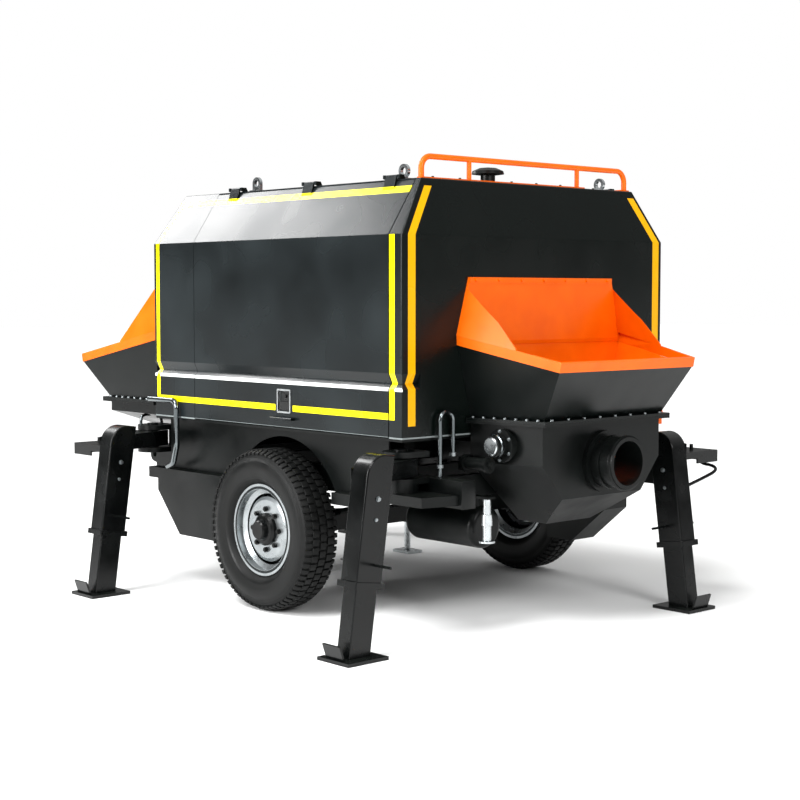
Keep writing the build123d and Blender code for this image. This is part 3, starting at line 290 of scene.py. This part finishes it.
def paint(name, dark, light, low, high, grain_mm, top_light=None, shine=0.2):
    """A paint that varies between two colours and two gloss levels, with a painted highlight on what faces
    up.
    """
    material, tree, place, normal = start(name)
    colour = layered(tree, linear(dark), (clouded(tree, place, patch_mm, 0.0, 1.0), light))
    # What faces up is laid over in a lighter tone in patches: a painted highlight for the light from above.
    if top_light:
        level = between(tree, add_node(tree, "SeparateXYZ", {0: normal}, 2), 0.7, 1.1)
        painted_top_light = all_of(tree, [level, clouded(tree, place, patch_mm, 0.1, 0.5)])
        colour = layered(tree, colour, (painted_top_light, top_light))
    gloss = clouded(tree, place, patch_mm, low, high)
    grain = add_node(tree, "TexNoise", {"Vector": place, "Scale": 1000 / grain_mm, "Detail": 2.0})
    close(tree, colour, gloss, bump=grain, depth_mm=0.08, shine=shine)
    print(name, len(tree.nodes), "nodes")
    return material


# Satin chassis enamel: broad dull highlights, and a painted highlight on its ledges.
chassis_paint = paint("satin_black_chassis_paint", "040606", "0c0f0e", 0.28, 0.44, 5.0, top_light="1c1f1c")
# Gloss enamel on the stands: narrow bright highlights along the tube corners.
leg_paint = paint("gloss_black_leg_paint", "030404", "090b0b", 0.16, 0.32, 6.0, top_light="1c201d", shine=0.28)
# Enamel on the turned hubs: a tight highlight on the cap.
hub_paint = paint("black_hub_paint", "040505", "0c0d0d", 0.22, 0.38, 4.0)
# Moulded plastic with a matt skin: hardly a highlight.
plastic = paint("matt_black_plastic", "0a0b0b", "121414", 0.45, 0.60, 2.0)
# Enamel on welded grate bars, darker than the hoppers so that the bars read against them.
grate_paint = paint("orange_grate_paint", "b83c02", "d24a04", 0.30, 0.45, 6.0, shine=0.4)
# Grey engine enamel with a dull skin. The block is plain, so little of it is asked.
engine_paint = paint("grey_engine_paint", "3c4042", "54585a", 0.40, 0.55, 5.0)
# Painted iron casting: a fine sandy grain under the black.
cast_iron = paint("black_cast_iron", "050606", "0e1110", 0.26, 0.42, 2.5, top_light="181b19")


# %% [markdown]
# The hopper rims and guards are sprayed orange. The funnels are orange where the concrete runs
# and black outside. Two shells could be modelled, but one sheet has both faces here, told
# apart by whether they look away from the hopper's heart, which also holds with a lid up.

# %% Hopper paints
flange_top = 0.966
enamel_cloud_mm = 150
enamel_grain_mm = 7


def orange(name, heart=None):
    """Orange enamel; with a heart, faces that look away from it and the flange are black."""
    material, tree, place, normal = start(name)
    colour = layered(tree, linear("ea5f00"), (clouded(tree, place, enamel_cloud_mm, 0.0, 1.0), "f46a00"))
    if heart:
        away = add_node(tree, "VectorMath", {0: place, 1: heart}, operation="SUBTRACT")
        turned = add_node(tree, "VectorMath", {0: normal, 1: away}, "Value", operation="DOT_PRODUCT")
        outward = add_node(tree, "Math", {0: turned, 1: 0.0}, operation="GREATER_THAN")
        flange = between(tree, add_node(tree, "SeparateXYZ", {0: place}, 2), 0.0, flange_top)
        colour = layered(tree, colour, (any_of(tree, [outward, flange]), "040807"))
    gloss = clouded(tree, place, enamel_cloud_mm, 0.28, 0.40)
    grain = add_node(tree, "TexNoise", {"Vector": place, "Scale": 1000 / enamel_grain_mm, "Detail": 2.0})
    close(tree, colour, gloss, bump=grain, depth_mm=0.06, shine=0.25)
    print(name, len(tree.nodes), "nodes")
    return material


rim_orange = orange("orange_enamel")
rear_funnel_paint = orange("orange_in_black_out_rear", at(1.14, 0, 1.38))
front_funnel_paint = orange("orange_in_black_out_front", at(-1.22, 0, 1.38))


# %% [markdown]
# Pipes, pins and bolts are plated steel. A perfect mirror would be one way, but plating always
# clouds and scratches a little, so its roughness drifts and a shallow grain breaks it up.

# %% Plated steel
def plated(name, code, low, high, scratch_mm):
    """Plated steel with a faint cloudy gloss and fine scratches."""
    material, tree, place, normal = start(name)
    gloss = clouded(tree, place, 60, low, high, 3.0)
    scratch = add_node(tree, "TexNoise", {"Vector": place, "Scale": 1000 / scratch_mm, "Detail": 2.0})
    close(tree, linear(code), gloss, metal=1.0, bump=scratch, depth_mm=0.03)
    print(name, len(tree.nodes), "nodes")
    return material


# Zinc plate is bright and slightly milky, chrome on tube is sharper, and a plain zinc bolt is greyer.
# The tube chrome's colour is painted dark: a painted reflection of dark surroundings. Black oxide is a
# thin dull film on the small roof bolts.
bright_steel = plated("zinc_plated_steel", "c3c8ca", 0.16, 0.34, 6)
chrome_painted_dark = plated("tube_chrome_painted_dark_reflection", "6c7274", 0.10, 0.22, 6)
bolt_steel = plated("plain_zinc_bolt", "9aa0a2", 0.25, 0.42, 3)
black_bolt = paint("black_oxide_bolt", "101212", "232626", 0.30, 0.45, 2.0)

# %% [markdown]
# A door latch is a black plastic dish in a bright steel frame. The frame could be a separate
# bent strip, but the solid is one piece with its dish, so the frame is a mask on its edge.

# %% Latch finish
latch_middle = at(0.132, 0, 1.006)
latch_dish = (0.0435, 0.0485)
latch_finish, tree, place, normal = start("latch_bright_frame")
from_latch = add_node(tree, "VectorMath", {0: place, 1: latch_middle}, operation="SUBTRACT")
from_latch = add_node(tree, "VectorMath", {0: from_latch}, operation="ABSOLUTE")
x, y, z = add_node(tree, "SeparateXYZ", {0: from_latch}).node.outputs
bright = any_of(tree, [between(tree, x, latch_dish[0], 1.0), between(tree, z, latch_dish[1], 1.0)])
shade = layered(tree, linear("080a0a"), (bright, "c9cdce"))
close(tree, shade, clouded(tree, place, 30, 0.25, 0.4, 2.0), metal=bright)
print(latch_finish.name, len(tree.nodes), "nodes")


# %% [markdown]
# The wheel rim is pressed steel in silver lacquer, with grooves between its turned lands. The
# grooves could be cut, but at this distance only their shade shows, so that shade is painted as dark
# rings, masks by the distance from the axle.

# %% Rim finish
def wheel_radius(tree, place):
    """The distance from the wheels' common axis, in metres."""
    from_hub = add_node(tree, "VectorMath", {0: place, 1: at(wheel_x, 0, tyre_r)}, operation="SUBTRACT")
    flat = add_node(tree, "VectorMath", {0: from_hub, 1: (1, 0, 1)}, operation="MULTIPLY")
    return add_node(tree, "VectorMath", {0: flat}, "Value", operation="LENGTH")


silver_rim, tree, place, normal = start("silver_rim_lacquer")
radius = wheel_radius(tree, place)
# Painted shade: the grooves between the lands are darkened in the colour.
painted_groove_shade = any_of(tree, [between(tree, radius, 0.196, 0.208), between(tree, radius, 0.156, 0.171)])
tone = clouded(tree, place, 90, 0.0, 1.0, 3.0)
lacquer = layered(tree, linear("8d9294"), (tone, "abb0b2"), (painted_groove_shade, "202425"))
gloss = clouded(tree, place, 90, 0.22, 0.36, 3.0)
lacquer_grain_mm = 3
grain = add_node(tree, "TexNoise", {"Vector": place, "Scale": 1000 / lacquer_grain_mm, "Detail": 2.0})
close(tree, lacquer, gloss, metal=0.85, bump=grain, depth_mm=0.03)
print(silver_rim.name, len(tree.nodes), "nodes")

# %% [markdown]
# Tyre rubber is matt on the tread and smoother on the wall, with fine moulded ribs by the
# shoulder. The ribs could be turned into the mesh, but at 4 mm they would cost more faces than
# they show, so they are relief, and the wall's gloss is a mask by radius.

# %% Rubber
rib_pitch = 0.004
wall_polish = 0.16
rubber, tree, place, normal = start("tyre_rubber")
radius = wheel_radius(tree, place)
colour = layered(tree, linear("060707"), (clouded(tree, place, 70, 0.0, 0.6), "101110"))
turns = add_node(tree, "Math", {0: radius, 1: 2 * pi / rib_pitch}, operation="MULTIPLY")
ribs = add_node(tree, "Math", {0: turns}, operation="SINE")
relief = all_of(tree, [ribs, between(tree, radius, 0.330, 0.350)])
wall = between(tree, radius, 0.245, 0.345)
worn = clouded(tree, place, 70, 0.52, 0.66)
gloss = add_node(tree, "Math", {0: wall, 1: -wall_polish, 2: worn}, operation="MULTIPLY_ADD")
close(tree, colour, gloss, bump=relief, depth_mm=0.4, shine=0.22)
print(rubber.name, len(tree.nodes), "nodes")

# %% [markdown]
# Each node of the frame takes the finish of its slot in the record. Every node could be named
# one by one, but then a new one would be forgotten. The canopy's panels and doors share one
# finish, because the tape runs on from panel to panel.

# %% Finishes on the frame
finishes = {
    "black_powder_coat": canopy,
    "black_chassis": chassis_paint,
    "black_plastic": plastic,
    "orange_hopper": rim_orange,
    "black_leg": leg_paint,
    "orange_grate": grate_paint,
    "bright_steel": bright_steel,
    "silver_rim": silver_rim,
    "black_hub": hub_paint,
    "tyre_rubber": rubber,
    "cast_outlet": cast_iron,
    "grey_engine": engine_paint,
}
special = {
    "rear_hopper_funnel": rear_funnel_paint,
    "front_hopper_funnel": front_funnel_paint,
    "rear_pump_box": cast_iron,
    "front_pump_box": cast_iron,
    "rear_lever": rim_orange,
    "steel_pipes": chrome_painted_dark,
    "latch_left": latch_finish,
    "latch_right": latch_finish,
}
for part in frame["record"]["subparts"]:
    node = frame["nodes"][part["node"]]
    material = special.get(part["node"], finishes[part["material_slot"]])
    if not node.material_slots:
        node.data.materials.append(material)
    for holder in node.material_slots:
        holder.material = material


# %% [markdown]
# A new piece is modelled as by hand: a primitive is added at its size and place, shaped in edit
# mode and finished. It could ride on nothing, but then it would hang in the air when its body
# moves, so each is named, painted and hung on its body by one function.

# %% Naming, painting and hanging a piece
def settle(piece, name, material, body, replaced=()):
    """Name a finished piece, paint it and hang it on its body."""
    piece.name = name
    piece.data.name = name
    piece.data.materials.clear()
    piece.data.materials.append(material)
    bpy.ops.object.select_all(action="DESELECT")
    piece.select_set(True)
    bpy.context.view_layer.objects.active = piece
    bpy.ops.object.transform_apply(location=True, rotation=True, scale=True)
    bpy.ops.object.shade_smooth_by_angle(angle=radians(32))
    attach(piece, body)
    if replaced:
        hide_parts(*replaced)
    print(name, len(piece.data.polygons), "faces")
    return piece


def joined(objects):
    """Several fresh objects as one."""
    bpy.ops.object.select_all(action="DESELECT")
    for part in objects:
        part.select_set(True)
    bpy.context.view_layer.objects.active = objects[0]
    if len(objects) > 1:
        bpy.ops.object.join()
    return bpy.context.view_layer.objects.active


# %% [markdown]
# Pipes, caps and tyres are turned shapes. A cylinder with bevels would be near, but an outline
# spun about its axis gives every step and groove in one go, and its normals are made
# consistent once the doubled seam is merged.

# %% Turned pieces
def ring(outline, centre, axis, steps):
    """A closed outline of (radius, along) points turned about an axis through centre."""
    bpy.ops.object.select_all(action="DESELECT")
    bpy.ops.mesh.primitive_circle_add(vertices=len(outline), radius=0.1, location=(0, 0, 0))
    piece = bpy.context.object
    out = Vector((0, 0, 1)) if abs(axis.z) < 0.5 else Vector((1, 0, 0))
    for vertex, (radius, along) in zip(piece.data.vertices, outline):
        vertex.co = centre + out * radius + axis * along
    bpy.ops.object.mode_set(mode="EDIT")
    bpy.ops.mesh.select_all(action="SELECT")
    bpy.ops.mesh.spin(steps=steps, angle=2 * pi, center=centre, axis=axis)
    bpy.ops.mesh.select_all(action="SELECT")
    bpy.ops.mesh.remove_doubles(threshold=0.00002)
    bpy.ops.mesh.normals_make_consistent(inside=False)
    bpy.ops.object.mode_set(mode="OBJECT")
    return piece


# %% [markdown]
# Pads, plates and tread blocks are small bars with broken edges. A sharp cube would catch no
# light along its edges, so each is bevelled in edit mode before it is used or copied.

# %% Bars and their copies round an axle
def block(size, centre, bevel, turn=(0.0, 0.0, 0.0)):
    """A bar or pad with rounded edges."""
    bpy.ops.object.select_all(action="DESELECT")
    bpy.ops.mesh.primitive_cube_add(size=1, location=centre, rotation=turn)
    piece = bpy.context.object
    piece.scale = size
    bpy.ops.object.transform_apply(location=True, rotation=True, scale=True)
    bpy.ops.object.mode_set(mode="EDIT")
    bpy.ops.mesh.select_all(action="SELECT")
    bpy.ops.mesh.bevel(offset=bevel, segments=2, affect="EDGES")
    bpy.ops.object.mode_set(mode="OBJECT")
    return piece


def copies_round(piece, centre, axis, count):
    """Copies of a piece all the way round an axis, in the same mesh."""
    bpy.ops.object.select_all(action="DESELECT")
    piece.select_set(True)
    bpy.context.view_layer.objects.active = piece
    bpy.ops.object.mode_set(mode="EDIT")
    bpy.ops.mesh.select_all(action="SELECT")
    last = 2 * pi * (count - 1) / count
    bpy.ops.mesh.spin(steps=count - 1, dupli=True, angle=last, center=centre, axis=axis)
    bpy.ops.object.mode_set(mode="OBJECT")
    return piece


# %% [markdown]
# The tyres are road tyres with three rows of rounded blocks between shoulders that are cut by
# slots. Cutting grooves from a smooth tyre is one way, but blocks that stand on a turned casing
# need no boolean cuts, and they stay inside the outer radius of the solid they stand for.

# %% Tread sizes
# Each casing point is a radius and a place along the axle, from the bead to the middle line.
casing = [
    (0.205, 0.062), (0.224, 0.063), (0.229, 0.071), (0.240, 0.085), (0.252, 0.0925),
    (0.256, 0.0945), (0.262, 0.0945), (0.280, 0.0985), (0.300, 0.0995), (0.322, 0.0985),
    (0.327, 0.0965), (0.345, 0.0935), (0.360, 0.0880), (0.3705, 0.0780), (0.3755, 0.0600),
    (0.3780, 0.0300), (0.3785, 0.0),
]
pad_rows = ((-0.043, 0.5), (0.0, 0.0), (0.043, 0.5))
pads_round = 60
pad_size = (0.031, 0.036, 0.0085)
pad_radius = 0.3825
bars_round = 72
bar_size = (0.021, 0.036, 0.0105)
bar_radius = 0.3725
bar_along = 0.0765
bar_lean = radians(24)
pad_edge = 0.0022
bar_edge = 0.002
casing_steps = 96
print(pads_round * len(pad_rows) + 2 * bars_round, "blocks a tyre")

# %% [markdown]
# Each tyre is its casing, three rows of pads and two rows of shoulder bars. Separate pieces
# would be slow to handle, so each shape is modelled once, copied round the axle in its own
# mesh, and joined with the casing.

# %% Tyres
axle = -leftward
for side, name in ((-1, "left"), (1, "right")):
    hub_centre = at(wheel_x, side * wheel_y, tyre_r)
    far_side = [(radius, -along) for radius, along in reversed(casing[:-1])]
    parts = [ring(casing + far_side, hub_centre, axle, casing_steps)]
    top = hub_centre + up * pad_radius
    for row, shift in pad_rows:
        pad = block(pad_size, top + axle * row, pad_edge)
        pad = copies_round(pad, hub_centre, axle, pads_round)
        pad.select_set(True)
        half_pitch = shift * 2 * pi / pads_round
        bpy.ops.transform.rotate(value=half_pitch, orient_axis="Y", center_override=hub_centre)
        parts.append(pad)
    for edge in (-1, 1):
        spot = hub_centre + axle * edge * bar_along + up * bar_radius
        bar = block(bar_size, spot, bar_edge, (-edge * bar_lean, 0, 0))
        parts.append(copies_round(bar, hub_centre, axle, bars_round))
    tyre = joined(parts)
    settle(tyre, f"tyre_with_tread_{name}", rubber, f"wheel_{name}", [f"tyre_{name}"])


# %% [markdown]
# Bolts hold the guards, the flanges, the roof and the outlet. They are too small for the
# solids. Each could be placed alone, but a row is one hexagon head with its washer, repeated
# along a line by an array, so that its spacing stays even.

# %% Bolt rows
def bolt_row(name, first, last, count, outward, size, metal=bolt_steel, body="chassis", slot="bright_steel"):
    """A row of hexagon heads from first to last, standing along outward."""
    turn = outward.to_track_quat("Z", "Y").to_euler()
    bpy.ops.object.select_all(action="DESELECT")
    spot = first + outward * size * 0.1
    bpy.ops.mesh.primitive_cylinder_add(
        vertices=16, radius=size * 1.05, depth=size * 0.2, location=spot, rotation=turn
    )
    washer = bpy.context.object
    spot = first + outward * size * 0.5
    bpy.ops.mesh.primitive_cylinder_add(
        vertices=6, radius=size * 0.9, depth=size * 0.7, location=spot, rotation=turn
    )
    head = bpy.context.object
    bpy.ops.object.mode_set(mode="EDIT")
    bpy.ops.mesh.select_all(action="SELECT")
    bpy.ops.mesh.bevel(offset=size * 0.08, segments=1, affect="EDGES")
    bpy.ops.object.mode_set(mode="OBJECT")
    piece = joined([head, washer])
    bpy.ops.object.transform_apply(location=True, rotation=True, scale=True)
    if count > 1:
        array = piece.modifiers.new("row", "ARRAY")
        array.count = count
        array.use_relative_offset = False
        array.use_constant_offset = True
        array.constant_offset_displace = (last - first) / (count - 1)
        bpy.ops.object.modifier_apply(modifier="row")
    return settle(piece, name, metal, body)


# %% [markdown]
# The guards are bolted to the end walls through small heads that were painted with them, and
# the funnels to their boxes through larger zinc ones. Rows are set out from the seams that
# they follow, because a row in the wrong place shows more than a bolt of the wrong size.

# %% Guard and flange bolts
guard_face = half_length + 0.0145
guard_bolt = 0.008
painted = {"metal": rim_orange, "slot": "orange_hopper"}
first, last = at(guard_face, -0.45, 1.572), at(guard_face, 0.45, 1.572)
bolt_row("bolts_rear_guard", first, last, 7, rearward, guard_bolt, **painted)
first, last = at(-guard_face, -0.81, 1.562), at(-guard_face, 0.81, 1.562)
bolt_row("bolts_front_guard", first, last, 9, -rearward, guard_bolt, **painted)
flange_z = 0.9552
flange_bolt = 0.009
for side, name in ((-1, "left"), (1, "right")):
    first, last = at(0.99, side * 0.481, flange_z), at(1.33, side * 0.421, flange_z)
    bolt_row(f"bolts_rear_flange_{name}", first, last, 7, up, flange_bolt)
    first, last = at(-0.99, side * 0.877, flange_z), at(-1.40, side * 0.877, flange_z)
    bolt_row(f"bolts_front_flange_{name}", first, last, 8, up, flange_bolt)
first, last = at(1.365, -0.37, flange_z), at(1.365, 0.37, flange_z)
bolt_row("bolts_rear_flange_end", first, last, 8, up, flange_bolt)

# %% [markdown]
# The roof sheet and the base strips of its rail are held by small bolts in black oxide. They
# hardly show against the sheet and could be left out, but from above the edge looks bare
# without them, so they are rows as the others are.

# %% Roof bolts
roof_bolt = 0.007
blackened = {"metal": black_bolt, "slot": "black_plastic"}
bolt_row("bolts_roof_rear", at(0.880, -0.60, roof_z), at(0.880, 0.60, roof_z), 9, up, roof_bolt, **blackened)
rail_low, rail_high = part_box("roof_rail")
rail_x = (rail_low[0] + rail_high[0]) / 2 - middle.x
rail_base_z = roof_z + 0.006
first, last = at(rail_x, -0.62, rail_base_z), at(rail_x, 0.22, rail_base_z)
bolt_row("bolts_roof_rail", first, last, 6, up, roof_bolt, **blackened)

# %% [markdown]
# Each stand's outer tube is drilled for the pins that lock the foot, and their heads show on
# the wide face that looks away from the pivot. They could be typed one by one, but all four
# stands are alike, so each head is stepped out from its pivot and follows the tube's lean.

# %% Pins on the stands
# Each stand has its pivot, the way its arm points when parked, and the side of its wide face.
stands = {
    "rear_left": (at(0.880, -0.820, 0), leftward, 1),
    "rear_right": (at(0.880, 0.820, 0), rearward, -1),
    "front_left": (at(-1.080, -0.820, 0), leftward, 1),
    "front_right": (at(-1.080, 0.820, 0), -rearward, -1),
}
tube_reach = 0.465
tube_face = 0.2727
tube_lean = radians(8)
pins = ((0.665, 0.011), (0.580, 0.008))
for name, (pivot, arm, side) in stands.items():
    outward = up.cross(arm) * side
    for index, (height, size) in enumerate(pins):
        spot = pivot + arm * (tube_reach - height * tan(tube_lean)) + outward * tube_face + up * height
        bolt_row(f"pin_{name}_{index}", spot, spot, 1, outward, size, body=f"leg_{name}")

# %% [markdown]
# The outlet is a steel pipe with a bolted flange and a raised collar for the coupling. The
# collar could be bevelled out of the solid, but that mesh is left alone, so it is a turned
# ring on the pipe, and the bolts are set out on the flange's circle.

# %% Outlet flange and collar
flange_face = at(1.354, 0, 0.755)
flange_circle = 0.1275
flange_bolts = 8
for index in range(flange_bolts):
    around = 2 * pi * (index + 0.5) / flange_bolts
    spot = flange_face + Vector((0, cos(around), sin(around))) * flange_circle
    bolt_row(f"bolt_outlet_flange_{index}", spot, spot, 1, rearward, flange_bolt)
collar_outline = [(0.1185, 0.0), (0.1255, 0.002), (0.1255, 0.009), (0.1185, 0.011)]
collar = ring(collar_outline, at(1.4725, 0, 0.755), rearward, 72)
settle(collar, "outlet_coupling_collar", cast_iron, "chassis")

# %% [markdown]
# The agitator's motor ends in a bright machined cap, with a chrome band behind it whose colour is
# painted dark for its reflection. They could be cut into the solid, but that mesh is left alone, so
# both are turned rings on the motor's own axis, and its flange bolts stand round them.

# %% Agitator motor trim
drive_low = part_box("agitator_drive")[0]
cap_middle = Vector((at(1.150, 0, 0).x, drive_low[1], 0.840))
cap_outline = [(0.0, 0.0), (0.041, 0.0), (0.041, -0.005), (0.036, -0.009), (0.0, -0.009)]
cap = ring(cap_outline, cap_middle, axle, 48)
settle(cap, "agitator_motor_cap", bright_steel, "chassis")
band_outline = [(0.0482, 0.016), (0.053, 0.018), (0.053, 0.028), (0.0482, 0.030)]
band = ring(band_outline, cap_middle, axle, 48)
settle(band, "agitator_motor_band", chrome_painted_dark, "chassis")
motor_bolts = 6
motor_circle = 0.064
motor_flange_y = 0.054
motor_bolt = 0.008
for index in range(motor_bolts):
    around = 2 * pi * (index + 0.5) / motor_bolts
    offset = Vector((cos(around) * motor_circle, motor_flange_y, sin(around) * motor_circle))
    spot = cap_middle + offset
    bolt_row(f"bolt_agitator_flange_{index}", spot, spot, 1, leftward, motor_bolt)

# %% [markdown]
# The ends of the box rails are closed by welded plates, and clamps hold the bent pipes at the
# left side. Without them the rails would look like open tubes and the pipes would float, and
# both are plain enough for one bevelled block and one turned ring.

# %% Rail plates and pipe clamps
plate_size = (0.006, 0.084, 0.124)
plate_edge = 0.0015
rail_y = 0.680
for side, name in ((-1, "left"), (1, "right")):
    plate_end = block(plate_size, at(1.1628, side * rail_y, 0.640), plate_edge)
    settle(plate_end, f"rail_end_plate_{name}", chassis_paint, "chassis")
clamp_outline = [(0.0101, 0.0), (0.016, 0.001), (0.016, 0.015), (0.0101, 0.016)]
clamp_places = ((-rail_y, 0.742), (-0.600, 0.792))
for index, (pipe_y, pipe_z) in enumerate(clamp_places):
    clamp = ring(clamp_outline, at(0.985, pipe_y, pipe_z), up, 32)
    settle(clamp, f"pipe_clamp_rear_{index}", bolt_steel, "chassis")


# %% [markdown]
# A hoop at the front left and a handle under the right rear step are bent round bars. They
# could be swept by hand, but a smooth line through a few points, given thickness and turned to
# a mesh, bends as a bar does on a former.

# %% Bent bars
def bent_bar(name, points, radius, material, body):
    """A round bar along a smooth line through points, as a mesh."""
    curve = bpy.data.curves.new(name, "CURVE")
    curve.dimensions = "3D"
    curve.bevel_depth = radius
    curve.bevel_resolution = 4
    curve.use_fill_caps = True
    line = curve.splines.new("NURBS")
    line.points.add(len(points) - 1)
    for knot, spot in zip(line.points, points):
        knot.co = (*spot, 1.0)
    line.order_u = 3
    line.use_endpoint_u = True
    piece = bpy.data.objects.new(name, curve)
    bpy.context.collection.objects.link(piece)
    bpy.ops.object.select_all(action="DESELECT")
    piece.select_set(True)
    bpy.context.view_layer.objects.active = piece
    bpy.ops.object.convert(target="MESH")
    return settle(bpy.context.object, name, material, body)


bar_r = 0.008
hoop_yz = ((-0.752, 0.818), (-0.752, 0.862), (-0.80, 0.872), (-0.872, 0.872), (-0.882, 0.85), (-0.882, 0.818))
hoop = [at(-1.10, y, z) for y, z in hoop_yz]
bent_bar("hoop_front_left", hoop, bar_r, chrome_painted_dark, "chassis")
handle = [
    at(1.210, 0.880, 0.700), at(1.216, 0.880, 0.672), at(1.300, 0.880, 0.668), at(1.345, 0.850, 0.648),
    at(1.325, 0.760, 0.615), at(1.296, 0.690, 0.585), at(1.290, 0.645, 0.574),
]
bent_bar("step_handle_rear_right", handle, bar_r, leg_paint, "leg_rear_right")

# %% [markdown]
# The floor is white paper. One flat white would be simpler, but paper is never that even, so it
# drifts between two near whites. It is no part of the machine, so it hangs on no body.

# %% Floor
floor_material, tree, place, normal = start("white_floor")
paper_cloud_mm = 900
paper_cloud = add_node(tree, "TexNoise", {"Vector": place, "Scale": 1000 / paper_cloud_mm, "Detail": 2.0})
paper = layered(tree, linear("f4f5f4"), (paper_cloud, "fafafa"))
close(tree, paper, 0.9)
bpy.ops.object.select_all(action="DESELECT")
bpy.ops.mesh.primitive_plane_add(size=120, location=(0, 0, 0))
floor = bpy.context.object
floor.name = "floor"
floor.data.materials.append(floor_material)
print(floor_material.name, len(tree.nodes), "nodes")

# %% [markdown]
# Around the machine is a plain studio. The camera sees flat white, while the light itself comes
# from above and fades towards the horizon. A backdrop sheet and lamps could do the same, but
# the surroundings take two plain lights and one mask, and need no further objects.

# %% Surroundings
world = bpy.data.worlds.new("studio")
bpy.context.scene.world = world
world.use_nodes = True
tree = world.node_tree
tree.nodes.clear()
seen = add_node(tree, "LightPath", {}, "Is Camera Ray")
direction = add_node(tree, "TexCoord", {}, "Generated")
height = add_node(tree, "SeparateXYZ", {0: direction}, 2)
overhead = {"From Min": 0.0, "From Max": 0.9, "To Min": 0.04, "To Max": 0.85}
fade = add_node(tree, "MapRange", {"Value": height, **overhead})
soft = add_node(tree, "Background", {"Color": linear("ffffff"), "Strength": fade})
plain = add_node(tree, "Background", {"Color": linear("ffffff"), "Strength": 1.0})
both = add_node(tree, "MixShader", {0: seen, 1: soft, 2: plain})
add_node(tree, "OutputWorld", {"Surface": both})
print("surroundings", len(tree.nodes), "nodes")


# %% [markdown]
# The main light is soft and comes from above on the machine's left, so the shadow falls to the
# right and behind. One sun alone would leave the slopes and the rear wall black, so three soft
# boxes are added to light the slope, the doors and the rear wall.

# %% Lamps
def lamp(kind, name, spot, target, energy, size):
    """A soft lamp at spot that points at target; size is an angle for a sun, metres for a box."""
    turn = (target - spot).to_track_quat("-Z", "Y").to_euler()
    bpy.ops.object.light_add(type=kind, location=spot, rotation=turn)
    light = bpy.context.object
    light.name = name
    light.data.energy = energy
    if kind == "SUN":
        light.data.angle = size
    else:
        light.data.size = size
    return light


aim = at(0, 0, 1.0)
lamp("SUN", "sky_soft", at(0.5, -5, 9), aim, 2.6, radians(24))
lamp("AREA", "box_chamfer", at(-5.6, -1.6, 5.3), aim, 230, 2.2)
lamp("AREA", "box_left", at(-0.5, -6.5, 2.6), aim, 380, 2.6)
lamp("AREA", "box_rear", at(7.0, -1.5, 3.8), aim, 210, 2.0)
